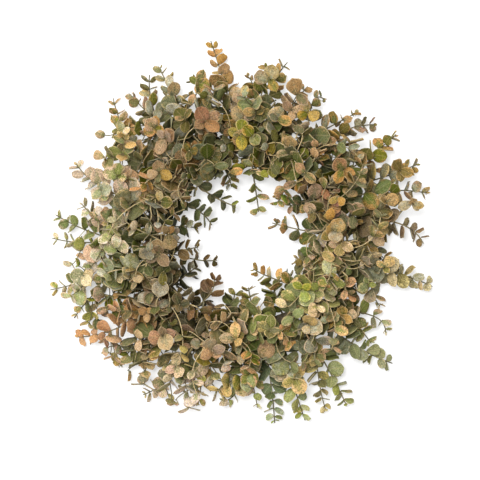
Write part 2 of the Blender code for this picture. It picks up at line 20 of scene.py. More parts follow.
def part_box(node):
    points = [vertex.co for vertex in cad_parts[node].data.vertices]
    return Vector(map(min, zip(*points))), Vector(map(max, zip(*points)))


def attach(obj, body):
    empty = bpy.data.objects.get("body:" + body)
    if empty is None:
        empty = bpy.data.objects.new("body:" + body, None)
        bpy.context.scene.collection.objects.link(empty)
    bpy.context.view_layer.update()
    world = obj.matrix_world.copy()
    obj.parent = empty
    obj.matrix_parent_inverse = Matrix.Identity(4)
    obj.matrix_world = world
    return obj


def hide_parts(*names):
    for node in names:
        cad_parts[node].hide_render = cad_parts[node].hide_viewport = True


bl_info = {
    "name": "Eucalyptus Wreath",
    "version": (1, 0, 0),
    "blender": (4, 5, 0),
    "location": "3D View > Sidebar > Wreath",
    "description": "Models the leafy sprays, the vine ring and its ties on the packed wreath",
    "category": "Object",
}

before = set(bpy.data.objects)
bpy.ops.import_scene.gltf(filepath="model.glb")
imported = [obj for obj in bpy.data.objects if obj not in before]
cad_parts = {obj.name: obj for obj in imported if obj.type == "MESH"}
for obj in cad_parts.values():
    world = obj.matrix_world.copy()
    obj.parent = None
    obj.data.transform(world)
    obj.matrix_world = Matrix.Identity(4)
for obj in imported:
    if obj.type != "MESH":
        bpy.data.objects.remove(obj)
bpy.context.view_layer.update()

MM = 0.001

# Ring of three twisted vine strands
RING_RADIUS = 142 * MM
STRAND_CREST = 11 * MM
STRAND_VALLEY = 8 * MM
RING_STEPS = 48
STRANDS = 3
STRAND_TURNS = 4

# Wire ties round the ring
TIE_ANGLES = (92, 212, 332)
TIE_WIDTH = 3.2 * MM
TIE_THICKNESS = 2.2 * MM
TIE_SIDES = 10
SEAT_GAP = 0.35 * MM

RING_HEIGHT = TIE_THICKNESS + SEAT_GAP + STRAND_CREST

# Stems
STEM_SIDES = 4
STEM_ROOT_RADIUS = 1.7 * MM
STEM_TIP_RADIUS = 0.9 * MM
TWIG_RADIUS = 1.3 * MM
STEM_CLEARANCE = 0.6 * MM
STEM_SPIN_DEG = (22, 68)
# Steps in which a stem's length is measured
LENGTH_STEPS = 12

# Each stem is tried up to this often, shifted by up to so much round the ring and in height, and
# the one with the fewest hits is kept, where those on the ring count more
STEM_TRIES = 90
RING_HIT_WEIGHT = 10
NUDGE_DEG = 8
NUDGE_DROP = 8 * MM
NUDGE_LIFT = 20 * MM

# A stem rises from the ring and eases into its tip over these shares of the way between them
RISE_SHARE = 0.30
TWIG_RISE_SHARE = 0.35
EASE_SHARE = 0.38
EASE_LIFT = 0.75
# Where a twig forks, as a share of its parent's bends, and how far that moves with one degree
FORK_SHARE = 0.30
FORK_STEP = 0.01

# Pairs of leaves along a stem, closer towards the tip
PAIR_PITCH = 30 * MM
FEWEST_PAIRS = 3
MOST_PAIRS = 6
FIRST_PAIR = 0.14
LAST_PAIR = 0.955
PAIR_CROWDING = 0.78

# Leaves: blade thickness, share of the length lost towards the tip, and clearances
LEAF_THICKNESS = 1.9 * MM
LEAF_TAPER = 0.64
LEAF_TAPER_POWER = 1.4
LEAF_CLEARANCE = 0.45 * MM
LEAF_FLOOR = 3.5 * MM
LEAF_TIP_FLOOR = 6.5 * MM
LEAF_SEED = 5

# Each leaf is drawn up to this often, turned, leaned and shrunk a little more each time
LEAF_TRIES = 14
LEAF_TURN_DEG = 6
LEAF_LEAN_STEP_DEG = 2.2
LEAF_SHRINK = 0.025

# Spread of the leaves: lean from the stem, length, and width and cup as shares of the length
LEAF_LEAN_DEG = (50, 74)
LEAF_LENGTH_SPREAD = (0.92, 1.08)
LEAF_WIDTH = (0.84, 1.0)
LEAF_CUP = (0.04, 0.13)
# How far a leaf faces up instead of back along its stem
LEAF_FACING = (0.5, 1.0)

# Half outline of a leaf blade: share of the length, share of the width, share of the cup
BLADE_HALF = ((0.28, 0.25, 0.2), (0.64, 0.50, 1.0), (1.0, 0.28, 0.8))
SMALL_BLADE_HALF = ((0.44, 0.45, 0.6), (1.0, 0.32, 1.0))
SMALL_LEAF = 21 * MM
BLADE_MIDDLE = 0.42

# A leaf starts inside its stem, this share of the stem's radius from the stem's own line
ROOT_SHIFT = 0.3
# Leaves of one spray may touch over this first share of their length
ROOT_SHARE = 0.22

# The hole stays open inside this radius round the ring's middle, but for the inner sprays' tips
HOLE_RADIUS = 88 * MM


class Spray(NamedTuple):
    """One stem: angles in degrees round the ring, lengths in millimetres.

    root_deg is where it leaves the ring, or None for a twig that forks from the spray before it.
    tip_deg and reach_mm place its tip, heading_deg is the way the tip points, crest_mm and
    tip_mm are its height on the way and at the tip, and leaf_mm is its longest leaf.
    """
    root_deg: float
    tip_deg: float
    reach_mm: float
    heading_deg: float
    crest_mm: float
    tip_mm: float
    leaf_mm: float
    tint: str = ""


OUTER_SPRAYS = (
    Spray(94, 99, 311, 108, 30, 14, 46, "leaf_gold"),
    Spray(None, 108, 262, 150, 34, 22, 34),
    Spray(115, 116, 297, 117, 46, 16, 46, "leaf_peach"),
    Spray(128, 120, 293, 88, 28, 14, 45, "leaf_gold"),
    Spray(124, 128, 285, 133, 50, 24, 45, "leaf_peach"),
    Spray(144, 133, 297, 104, 30, 14, 46, "leaf_peach"),
    Spray(160, 156, 285, 126, 46, 14, 47, "leaf_peach"),
    Spray(None, 146, 232, 100, 40, 30, 41),
    Spray(176, 168, 256, 130, 30, 26, 46, "leaf_cream"),
    Spray(186, 173, 293, 150, 48, 14, 45, "leaf_gold"),
    Spray(None, 180, 296, 166, 28, 14, 36),
    Spray(196, 195, 309, 193, 28, 14, 47, "leaf_sage"),
    Spray(None, 205, 290, 236, 40, 14, 36),
    Spray(218, 211, 300, 182, 46, 14, 46, "leaf_rust"),
    Spray(226, 225, 276, 226, 30, 18, 47, "leaf_olive"),
    Spray(None, 234, 264, 246, 40, 20, 36),
    Spray(246, 238, 288, 204, 46, 14, 46, "leaf_cream"),
    Spray(253, 255, 268, 262, 28, 16, 46, "leaf_cream"),
    Spray(272, 264, 256, 204, 46, 20, 45, "leaf_olive"),
    Spray(None, 275, 264, 278, 34, 18, 36),
    Spray(282, 280, 291, 274, 26, 12, 43, "leaf_sage"),
    Spray(290, 289, 299, 289, 46, 12, 45, "leaf_olive"),
    Spray(304, 302, 306, 294, 30, 14, 46, "leaf_cream"),
    Spray(None, 296, 298, 290, 40, 14, 36),
    Spray(313, 320, 303, 340, 46, 14, 47, "leaf_sage"),
    Spray(326, 321, 258, 305, 30, 16, 45, "leaf_gold"),
    Spray(None, 327, 268, 275, 40, 16, 36),
    Spray(347, 346, 304, 336, 44, 14, 47, "leaf_sage"),
    Spray(None, 334, 238, 310, 34, 22, 41),
    Spray(9, 359, 282, 300, 30, 20, 45, "leaf_rust"),
    Spray(None, 352, 240, 20, 30, 16, 33),
    Spray(22, 14, 297, 350, 46, 14, 46, "leaf_olive"),
    Spray(26, 23, 297, 24, 28, 14, 46, "leaf_rose"),
    Spray(36, 34, 288, 42, 46, 14, 46, "leaf_gold"),
    Spray(54, 41, 273, 4, 28, 16, 43, "leaf_rose"),
    Spray(62, 48, 264, 30, 50, 20, 46, "leaf_olive"),
    Spray(None, 60, 252, 330, 44, 30, 34),
    Spray(72, 67, 257, 48, 30, 18, 47, "leaf_gold"),
    Spray(80, 76, 283, 50, 46, 14, 45, "leaf_gold"),
    Spray(86, 82, 270, 84, 52, 28, 46, "leaf_olive"),
    Spray(None, 88, 254, 128, 30, 20, 33),
)

INNER_SPRAYS = (
    Spray(84, 60, 50, 277, 44, 34, 37, "leaf_olive"),
    Spray(106, 102, 84, 280, 30, 20, 37, "leaf_moss"),
    Spray(132, 104, 52, 342, 46, 40, 37, "leaf_peach"),
    Spray(150, 155, 54, 300, 36, 26, 39, "leaf_sage"),
    Spray(172, 167, 76, 350, 30, 20, 37, "leaf_moss"),
    Spray(190, 191, 72, 11, 48, 34, 39, "leaf_olive"),
    Spray(None, 219, 54, 8, 30, 24, 28),
    Spray(212, 212, 88, 34, 30, 20, 37, "leaf_moss"),
    Spray(236, 234, 76, 108, 46, 40, 41, "leaf_peach"),
    Spray(258, 262, 86, 84, 30, 20, 39, "leaf_sage"),
    Spray(279, 277, 78, 98, 48, 38, 39, "leaf_olive"),
    Spray(298, 302, 86, 118, 30, 20, 37, "leaf_moss"),
    Spray(320, 291, 52, 150, 46, 30, 39, "leaf_sage"),
    Spray(None, 320, 86, 130, 34, 26, 31),
    Spray(342, 338, 90, 160, 30, 20, 39, "leaf_olive"),
    Spray(6, 26, 54, 164, 44, 30, 41, "leaf_cream"),
    Spray(28, 34, 90, 215, 30, 20, 37, "leaf_rose"),
    Spray(56, 46, 78, 230, 44, 30, 39, "leaf_olive"),
)

# Front sprays follow one rule round the ring, with their draws seeded
FRONT_SEED = 71
FRONT_COUNT = 11
FRONT_FIRST_DEG = 14
FRONT_ROOT_SPREAD_DEG = 5
FRONT_TINTS = ("leaf_rose", "leaf_olive", "leaf_gold", "leaf_olive", "leaf_peach", "leaf_sage",
               "leaf_cream", "leaf_rust", "leaf_peach", "leaf_sage", "leaf_cream")
FRONT_SWEEP_DEG = (24, 40)
FRONT_TURN_DEG = (50, 90)
FRONT_REACH = (158, 200)
# Every third one reaches into the hole
FRONT_INNER_REACH = (112, 126)
FRONT_CREST = (70, 86)
FRONT_TIP_HEIGHT = (50, 72)
FRONT_LEAF = 47

# Forks on every second front spray: turned from it, and a little lower with a higher tip
FRONT_FORK_SWEEP = 0.4
FRONT_FORK_TURN_DEG = 60
FRONT_FORK_REACH = (150, 190)
FRONT_FORK_DROP = 10
FRONT_FORK_TIP_LIFT = 6
FRONT_FORK_LEAF = 34

# Angle round the vine section where each layer's stems leave it: 0 outward, 90 up, 180 inward
ROOT_LOW_DEG = 8
ROOT_HIGH_DEG = 48
ROOT_FRONT_DEG = 90
ROOT_INNER_LOW_DEG = 172
ROOT_INNER_HIGH_DEG = 132
HIGH_CREST_MM = 40


class Stem(NamedTuple):
    """A planned stem.

    It has its bend points and the radius at each, the shares of its length where it bends and
    where its pairs of leaves grow, its turn about its own line, its longest leaf, and the control
    points of its curve.
    """
    points: list
    radii: list
    bends: list
    pairs: list
    spin: float
    leaf_length: float
    curve: list


class Leaf(NamedTuple):
    """A planned leaf: where it roots in the stem, its directions, and its sizes."""
    root: Vector
    along: Vector
    normal: Vector
    length: float
    width: float
    cup: float


def polar(radius, degrees, height=0.0):
    """Point at a distance and an angle from the ring's middle."""
    angle = math.radians(degrees)
    return Vector((radius * math.cos(angle), radius * math.sin(angle), height))


def unit(vector, fallback=Vector((0, 0, 1))):
    """Vector of length one, or the fallback for a vector too short to turn into one."""
    return vector.normalized() if vector.length > 1e-9 else fallback.copy()


def bezier(points, share):
    """Point on a cubic curve with four control points."""
    a, b, c, d = points
    rest = 1.0 - share
    return a * rest ** 3 + b * 3 * rest * rest * share + c * 3 * rest * share * share + d * share ** 3


def ring_shell():
    """Vertices and triangles of the twisted vine ring."""
    corners = 2 * STRANDS
    vertices = []
    for step in range(RING_STEPS):
        turn = 360.0 * step / RING_STEPS
        for corner in range(corners):
            angle = math.radians(turn * STRAND_TURNS) + math.tau * corner / corners
            radius = STRAND_VALLEY if corner % 2 else STRAND_CREST
            out = RING_RADIUS + radius * math.cos(angle)
            vertices.append(polar(out, turn, RING_HEIGHT + radius * math.sin(angle)))
    faces = []
    for step in range(RING_STEPS):
        here, there = step * corners, (step + 1) % RING_STEPS * corners
        for corner in range(corners):
            after = (corner + 1) % corners
            faces.append((here + corner, there + corner, there + after))
            faces.append((here + corner, there + after, here + after))
    return vertices, faces


def tie_shell(degrees):
    """Vertices and quads of a square-section wire loop round the vine ring."""
    inner = (STRAND_CREST + SEAT_GAP) / math.cos(math.pi / TIE_SIDES)
    outer = (STRAND_CREST + SEAT_GAP + TIE_THICKNESS) / math.cos(math.pi / TIE_SIDES)
    half = TIE_WIDTH / 2
    around = polar(1, degrees + 90)
    vertices = []
    for side in range(TIE_SIDES):
        angle = math.tau * (side + 0.5) / TIE_SIDES - math.pi / 2
        for radius, offset in ((inner, -half), (outer, -half), (outer, half), (inner, half)):
            point = polar(RING_RADIUS + radius * math.cos(angle), degrees)
            point.z = RING_HEIGHT + radius * math.sin(angle)
            vertices.append(point + around * offset)
    faces = []
    for side in range(TIE_SIDES):
        here, there = side * 4, (side + 1) % TIE_SIDES * 4
        for corner in range(4):
            after = (corner + 1) % 4
            faces.append((here + corner, there + corner, there + after, here + after))
    return vertices, faces


def tangents_of(points):
    """Direction of a stem at each of its points."""
    last = len(points) - 1
    return [unit(points[min(index + 1, last)] - points[max(index - 1, 0)])
            for index in range(len(points))]


def stem_frames(points, spin):
    """Two directions across a stem at each of its points, carried along it without twist."""
    tangents = tangents_of(points)
    side = unit(tangents[-1].cross(Vector((0, 0, 1))), Vector((1, 0, 0)))
    side = side * math.cos(spin) + tangents[-1].cross(side) * math.sin(spin)
    frames = []
    for tangent in reversed(tangents):
        side = unit(side - tangent * side.dot(tangent), Vector((1, 0, 0)))
        frames.append((side, tangent.cross(side)))
    return frames[::-1]


def tube_shell(points, radii, spin=0.0, grow=0.0):
    """Vertices and faces of a closed tube through the points, its flats facing its frames."""
    vertices = []
    for point, radius, (side, other) in zip(points, radii, stem_frames(points, spin)):
        for corner in range(STEM_SIDES):
            angle = math.tau * (corner + 0.5) / STEM_SIDES
            spoke = side * math.cos(angle) + other * math.sin(angle)
            vertices.append(point + spoke * (radius + grow))
    faces = [tuple(reversed(range(STEM_SIDES)))]
    for step in range(len(points) - 1):
        for corner in range(STEM_SIDES):
            after = (corner + 1) % STEM_SIDES
            low, high = step * STEM_SIDES, (step + 1) * STEM_SIDES
            faces.append((low + corner, low + after, high + after, high + corner))
    last = (len(points) - 1) * STEM_SIDES
    faces.append(tuple(range(last, last + STEM_SIDES)))
    return vertices, faces


def leaf_outline(leaf, start=0.0, grow=0.0):
    """Rim of a leaf from its root round the right side and back down the left."""
    side = leaf.normal.cross(leaf.along)
    right, left = [], []
    half = BLADE_HALF if leaf.length > SMALL_LEAF else SMALL_BLADE_HALF
    for length_share, width_share, cup_share in half:
        middle = leaf.root + leaf.along * (leaf.length * length_share + grow * (length_share - start))
        middle = middle + leaf.normal * (leaf.cup * cup_share)
        spread = side * (leaf.width * width_share + grow)
        right.append(middle + spread)
        left.append(middle - spread)
    root = leaf.root + leaf.along * leaf.length * start
    return [root] + right + left[::-1]


def leaf_shell(leaf):
    """Vertices and triangles of a leaf, a cupped lens with its root sunk in the stem."""
    rim = leaf_outline(leaf)
    middle = leaf.root + leaf.along * (leaf.length * BLADE_MIDDLE)
    vertices = rim + [middle + leaf.normal * (LEAF_THICKNESS / 2),
                      middle - leaf.normal * (LEAF_THICKNESS / 2)]
    count = len(rim)
    faces = []
    for index in range(count):
        after = (index + 1) % count
        faces.append((index, after, count))
        faces.append((after, index, count + 1))
    return vertices, faces


def leaf_guard(leaf, start, grow):
    """Search tree of a leaf's shell, grown by a clearance and cut short near its root."""
    rim = leaf_outline(leaf, start, grow)
    middle = leaf.root + leaf.along * (leaf.length * BLADE_MIDDLE)
    count = len(rim)
    lift = leaf.normal * (grow + 0.1 * MM)
    swell = leaf.normal * (grow + LEAF_THICKNESS / 2)
    vertices = [p + lift for p in rim] + [p - lift for p in rim] + [middle + swell, middle - swell]
    faces = []
    for index in range(count):
        after = (index + 1) % count
        faces.append((index, after, 2 * count))
        faces.append((count + after, count + index, 2 * count + 1))
        faces.append((index, count + index, count + after))
        faces.append((index, count + after, after))
    return BVHTree.FromPolygons(vertices, faces)


def tree_of(shell):
    """Search tree of a shell's vertices and faces."""
    vertices, faces = shell
    return BVHTree.FromPolygons(vertices, faces)


def merged(shells):
    """One list of vertices and faces from several shells."""
    vertices, faces = [], []
    for shell_vertices, shell_faces in shells:
        offset = len(vertices)
        vertices.extend(shell_vertices)
        faces.extend(tuple(i + offset for i in face) for face in shell_faces)
    return vertices, faces


def section_point(degrees, section_deg):
    """Point and outward direction at an angle round the vine section."""
    angle = math.radians(section_deg)
    spoke = polar(math.cos(angle), degrees)
    spoke.z = math.sin(angle)
    return polar(RING_RADIUS, degrees, RING_HEIGHT), spoke


def seat_on_ring(curve, ring_tree, spoke):
    """Move a stem's first control point so that its cut end sits just off the vine."""
    start = (curve[1] - curve[0]).normalized()
    side = unit(start.cross(Vector((0, 0, 1))), Vector((1, 0, 0)))
    other = start.cross(side)
    far = 30 * MM
    least = None
    for corner in range(STEM_SIDES):
        angle = math.tau * corner / STEM_SIDES
        spread = side * math.cos(angle) + other * math.sin(angle)
        point = curve[0] + spread * STEM_ROOT_RADIUS
        hit = ring_tree.ray_cast(point + spoke * far, -spoke)
        if hit[0] is not None:
            clear = hit[3] - far
            least = clear if least is None else min(least, clear)
    move = spoke * (SEAT_GAP - least)
    return [curve[0] + move, curve[1] + move, curve[2], curve[3]]


def pair_shares(length):
    """Shares of a stem's length where its pairs of leaves grow, closer towards the tip."""
    count = max(FEWEST_PAIRS, min(MOST_PAIRS, round(length / PAIR_PITCH)))
    span = LAST_PAIR - FIRST_PAIR
    return [FIRST_PAIR + span * (index / (count - 1)) ** PAIR_CROWDING for index in range(count)]


def stem_from_curve(curve, leaf_length, root_radius, spin):
    """Stem with its bends half way between pairs of leaves."""
    line = [bezier(curve, step / LENGTH_STEPS) for step in range(LENGTH_STEPS + 1)]
    length = sum((after - before).length for before, after in zip(line, line[1:]))
    pairs = pair_shares(length)
    bends = [0.0] + [(a + b) / 2 for a, b in zip(pairs[0::2], pairs[1::2])] + [1.0]
    points = [bezier(curve, bend) for bend in bends]
    radii = [root_radius + (STEM_TIP_RADIUS - root_radius) * bend for bend in bends]
    return Stem(points, radii, bends, pairs, spin, leaf_length, curve)


def spray_section(spray, layer):
    """Angle round the vine section where a spray leaves it."""
    if layer == "front":
        return ROOT_FRONT_DEG
    high = spray.crest_mm > HIGH_CREST_MM
    if layer == "inner":
        return ROOT_INNER_HIGH_DEG if high else ROOT_INNER_LOW_DEG
    return ROOT_HIGH_DEG if high else ROOT_LOW_DEG


def main_curve(spray, layer, nudge, ring_tree):
    """Control points of a spray's main stem, shifted a little on each new try."""
    tip = polar(spray.reach_mm * MM, spray.tip_deg, spray.tip_mm * MM)
    heading = polar(1, spray.heading_deg)
    centre, spoke = section_point(spray.root_deg + nudge[0], spray_section(spray, layer))
    root = centre + spoke * STRAND_CREST
    span = (tip - root).length
    rise = centre + spoke * (STRAND_CREST + span * RISE_SHARE)
    rise.z = max(rise.z, spray.crest_mm * MM + nudge[1])
    ease = tip - heading * (span * EASE_SHARE)
    ease.z = tip.z + (spray.crest_mm * MM - tip.z) * EASE_LIFT + nudge[1]
    return seat_on_ring([root, rise, ease, tip], ring_tree, spoke)


def twig_curve(spray, parent, nudge):
    """Control points of a twig that forks from its parent stem."""
    share = FORK_SHARE + nudge[0] * FORK_STEP
    at = share * (len(parent.points) - 1)
    index = min(int(at), len(parent.points) - 2)
    root = parent.points[index].lerp(parent.points[index + 1], at - index)
    tip = polar(spray.reach_mm * MM, spray.tip_deg, spray.tip_mm * MM)
    heading = polar(1, spray.heading_deg)
    span = (tip - root).length
    along = unit(parent.points[index + 1] - parent.points[index])
    rise = root + (along + unit(tip - root)) / 2 * (span * TWIG_RISE_SHARE)
    rise.z = (rise.z + spray.crest_mm * MM) / 2 + nudge[1]
    ease = tip - heading * (span * EASE_SHARE)
    ease.z = (tip.z + spray.crest_mm * MM) / 2 + nudge[1]
    return [root, rise, ease, tip]


def nudges(draw):
    """Small shifts to try in turn: degrees round the ring, and height."""
    yield 0.0, 0.0
    for attempt in range(1, STEM_TRIES):
        reach = attempt / STEM_TRIES
        yield (draw.uniform(-NUDGE_DEG, NUDGE_DEG) * reach,
               draw.uniform(-NUDGE_DROP, NUDGE_LIFT) * reach)


def front_sprays():
    """Front sprays round the ring, with a short fork on every second one."""
    draw = random.Random(FRONT_SEED)
    rows = []
    for index in range(FRONT_COUNT):
        way = 1 if index % 2 else -1
        spread = draw.uniform(-FRONT_ROOT_SPREAD_DEG, FRONT_ROOT_SPREAD_DEG)
        root = FRONT_FIRST_DEG + 360.0 * index / FRONT_COUNT + spread
        sweep = draw.uniform(*FRONT_SWEEP_DEG) * way
        reach = draw.uniform(*(FRONT_REACH if index % 3 else FRONT_INNER_REACH))
        turn = draw.uniform(*FRONT_TURN_DEG) * way
        crest = draw.uniform(*FRONT_CREST)
        tip = draw.uniform(*FRONT_TIP_HEIGHT)
        heading = root + turn if reach > RING_RADIUS / MM else root + 180 - turn
        rows.append(Spray(root, root + sweep, reach, heading, crest, tip, FRONT_LEAF,
                          FRONT_TINTS[index]))
        if index % 2 == 0:
            rows.append(Spray(None, root - sweep * FRONT_FORK_SWEEP,
                              draw.uniform(*FRONT_FORK_REACH), heading + FRONT_FORK_TURN_DEG,
                              crest - FRONT_FORK_DROP, tip + FRONT_FORK_TIP_LIFT,
                              FRONT_FORK_LEAF))
    return rows


def plan_stems(rows, layer, ring_tree, taken, draw):
    """Stems of one layer, each clear of those before it, grouped by spray."""
    groups = []
    for row in rows:
        fork = row.root_deg is None
        others = [tree for tree in taken if not fork or tree not in groups[-1]["stem_trees"]]
        spin = math.radians(draw.uniform(*STEM_SPIN_DEG))
        best = None
        for nudge in nudges(draw):
            if fork:
                curve = twig_curve(row, groups[-1]["stems"][0], nudge)
            else:
                curve = main_curve(row, layer, nudge, ring_tree)
            radius = TWIG_RADIUS if fork else STEM_ROOT_RADIUS
            stem = stem_from_curve(curve, row.leaf_mm * MM, radius, spin)
            guard = tree_of(tube_shell(stem.points, stem.radii, spin, STEM_CLEARANCE))
            body = tree_of(tube_shell(stem.points, stem.radii, spin))
            hits = sum(len(guard.overlap(tree)) for tree in others)
            hits += RING_HIT_WEIGHT * len(body.overlap(ring_tree))
            if best is None or hits < best[0]:
                best = (hits, stem, body)
            if hits == 0:
                break
        if not fork:
            groups.append({"stems": [], "stem_trees": [], "tint": row.tint, "layer": layer})
        groups[-1]["stems"].append(best[1])
        groups[-1]["stem_trees"].append(best[2])
        taken.append(best[2])
    return groups


def place_at(stem, share):
    """Point, direction, radius and cross direction on a stem's straight runs."""
    index = 0
    while index < len(stem.bends) - 2 and share > stem.bends[index + 1]:
        index += 1
    part = (share - stem.bends[index]) / (stem.bends[index + 1] - stem.bends[index])
    point = stem.points[index].lerp(stem.points[index + 1], part)
    radius = stem.radii[index] + (stem.radii[index + 1] - stem.radii[index]) * part
    tangent = unit(stem.points[index + 1] - stem.points[index])
    frames = stem_frames(stem.points, stem.spin)
    side = frames[index][0].lerp(frames[index + 1][0], part)
    side = unit(side - tangent * side.dot(tangent))
    return point, tangent, radius, side


def leaf_normal(along, tangent, side, share):
    """Way that a leaf's upper face points, turned from its stem a share of the way to face up."""
    natural = unit(tangent - along * tangent.dot(along), side)
    if natural.z < 0:
        natural = -natural
    up = unit(Vector((0, 0, 1)) - along * along.z, tangent)
    normal = unit(natural * (1 - share) + up * share, up)
    return unit(normal - along * normal.dot(along), up)


def draw_leaf(stem, place, share, azimuth, attempt, draw):
    """One leaf at an angle round its stem, turned and shrunk a little on each new try."""
    point, tangent, radius, side = place
    turn = azimuth + math.radians(draw.uniform(-LEAF_TURN_DEG, LEAF_TURN_DEG) * attempt)
    spoke = side * math.cos(turn) + tangent.cross(side) * math.sin(turn)
    lean = draw.uniform(*LEAF_LEAN_DEG) - draw.uniform(0, LEAF_LEAN_STEP_DEG) * attempt
    lean = math.radians(lean)
    along = unit(tangent * math.cos(lean) + spoke * math.sin(lean))
    length = stem.leaf_length * (1 - LEAF_TAPER * share ** LEAF_TAPER_POWER)
    length *= draw.uniform(*LEAF_LENGTH_SPREAD) * (1 - LEAF_SHRINK * attempt)
    lowest = (LEAF_TIP_FLOOR - point.z) / length
    if along.z < lowest:
        along = unit(Vector((along.x, along.y, 0)), side)
        along = unit(along * math.sqrt(max(0.05, 1 - lowest * lowest)) + Vector((0, 0, lowest)))
    normal = leaf_normal(along, tangent, side, draw.uniform(*LEAF_FACING))
    width = length * draw.uniform(*LEAF_WIDTH)
    cup = length * draw.uniform(*LEAF_CUP)
    root = point + along * (radius * ROOT_SHIFT)
    return Leaf(root, along, normal, length, width, cup)


def plan_leaves(groups, ring_tree, tie_trees, draw):
    """Leaves of every spray, each clear of the ring, the ties and all other sprays."""
    for group in groups:
        fixed = [ring_tree] + tie_trees
        for other in groups:
            if other is not group:
                fixed.extend(other["stem_trees"])
                fixed.extend(other.get("leaf_trees", []))
        group["leaves"] = []
        group["places"] = []
        own, shells = [], []
        for number, stem in enumerate(group["stems"]):
            for index, share in enumerate(stem.pairs):
                place = place_at(stem, share)
                for half_turn in (0, 180):
                    azimuth = math.radians(90 * (index % 2) + half_turn)
                    for attempt in range(LEAF_TRIES):
                        leaf = draw_leaf(stem, place, share, azimuth, attempt, draw)
                        blade = leaf_shell(leaf)
                        if min(point.z for point in blade[0]) < LEAF_FLOOR:
                            continue
                        nearest = min(point.xy.length for point in blade[0])
                        if group["layer"] != "inner" and nearest < HOLE_RADIUS:
                            continue
                        guard = leaf_guard(leaf, 0.0, LEAF_CLEARANCE)
                        if any(guard.overlap(tree) for tree in fixed):
                            continue
                        beyond_root = leaf_guard(leaf, ROOT_SHARE, 0.0)
                        if any(beyond_root.overlap(tree) for tree in own):
                            continue
                        own.append(beyond_root)
                        group["leaves"].append(leaf)
                        group["places"].append((number, share))
                        shells.append(blade)
                        break
        group["leaf_trees"] = [tree_of(merged(shells))]


def plan_wreath():
    """All sprays of the wreath, with stems and leaves placed clear of each other."""
    ring_tree = tree_of(ring_shell())
    tie_trees = [tree_of(tie_shell(degrees)) for degrees in TIE_ANGLES]
    taken = tie_trees[:]
    groups = []
    for rows, layer in ((OUTER_SPRAYS, "outer"), (INNER_SPRAYS, "inner"),
                        (front_sprays(), "front")):
        groups.extend(plan_stems(rows, layer, ring_tree, taken, random.Random(len(rows))))
    plan_leaves(groups, ring_tree, tie_trees, random.Random(LEAF_SEED))
    return groups


class BladeForm(NamedTuple):
    """Shape of a leaf blade of unit length, drawn on a grid.

    It has the number of columns, the places of the rows along the leaf, the half width of each
    row, how far the sides cup and fold upwards, how far the tip bends down, and how far the
    margin waves up and down.
    """
    columns: int
    places: tuple
    halves: tuple
    cup: float
    fold: float
    bend: float
    wave: float


# Places of the rows of a blade along its length, closest where its outline bends most
BROAD_ROWS = (0.0, 0.06, 0.20, 0.38, 0.58, 0.77, 0.92, 1.0)
SPOON_ROWS = (0.0, 0.07, 0.20, 0.35, 0.50, 0.65, 0.79, 0.91, 1.0)
SMALL_ROWS = (0.0, 0.18, 0.50, 0.84, 1.0)

# Forms of the leaves, by name
BLADE_FORMS = {
    "round": BladeForm(4, BROAD_ROWS, (0.04, 0.21, 0.375, 0.475, 0.485, 0.41, 0.26, 0.09), 0.06, 0.01,
                       0.05, 0.008),
    "bowl": BladeForm(4, BROAD_ROWS, (0.04, 0.19, 0.345, 0.445, 0.46, 0.40, 0.26, 0.09), 0.16, 0.0,
                      -0.06, 0.006),
    "curled": BladeForm(4, BROAD_ROWS, (0.04, 0.17, 0.315, 0.405, 0.415, 0.35, 0.22, 0.08), -0.05,
                        0.03, 0.14, 0.018),
    "spoon": BladeForm(2, SPOON_ROWS, (0.03, 0.09, 0.19, 0.29, 0.365, 0.405, 0.385, 0.285, 0.10),
                       0.05, 0.05, -0.05, 0.012),
    "oval": BladeForm(2, SPOON_ROWS, (0.03, 0.13, 0.24, 0.31, 0.34, 0.325, 0.265, 0.175, 0.05), 0.04,
                      0.04, 0.06, 0.015),
    "folded": BladeForm(2, SPOON_ROWS, (0.03, 0.10, 0.19, 0.26, 0.305, 0.31, 0.275, 0.195, 0.06),
                        0.04, 0.13, 0.04, 0.0),
    "bud": BladeForm(2, SMALL_ROWS, (0.05, 0.28, 0.44, 0.33, 0.09), 0.10, 0.02, 0.0, 0.0),
    "oval_bud": BladeForm(2, SMALL_ROWS, (0.04, 0.20, 0.32, 0.23, 0.06), 0.05, 0.04, 0.05, 0.0),
    "narrow": BladeForm(2, SMALL_ROWS, (0.03, 0.13, 0.21, 0.14, 0.04), 0.03, 0.03, 0.04, 0.0),
}
# Waves of the margin along a leaf, how far the corners of a blade's tip are drawn back, and how
# much of the cup they lose
WAVES = 1.4
CORNER_DROP = 0.025
CORNER_CUP = 0.5
# Faces of a pattern that are steeper than this are shaded flat
FLAT_SLOPE = 0.5

# Forms drawn for the leaves up to each share of a stem, large leaves and small ones
LARGE_FORMS = (
    (0.40, ("round", "round", "round", "bowl", "spoon", "curled")),
    (0.72, ("round", "bowl", "spoon", "oval", "curled", "folded")),
    (1.01, ("spoon", "oval", "oval", "folded", "bowl")),
)
SMALL_FORMS = (
    (0.60, ("bud", "bud", "oval_bud")),
    (1.01, ("oval_bud", "oval_bud", "narrow", "bud")),
)
HOLE_FORMS = ("oval", "spoon", "folded", "oval")
# Leaves up to this length have the simpler forms
SMALL_BLADE = 13.5 * MM

# Sides and steps of the drawn stems and of their side twigs
STEM_PATTERN = (6, 20)
TWIG_PATTERN = (5, 8)
# A drawn stem runs on past the end of its solid by this share, as a bare tip
STEM_END = 1.022

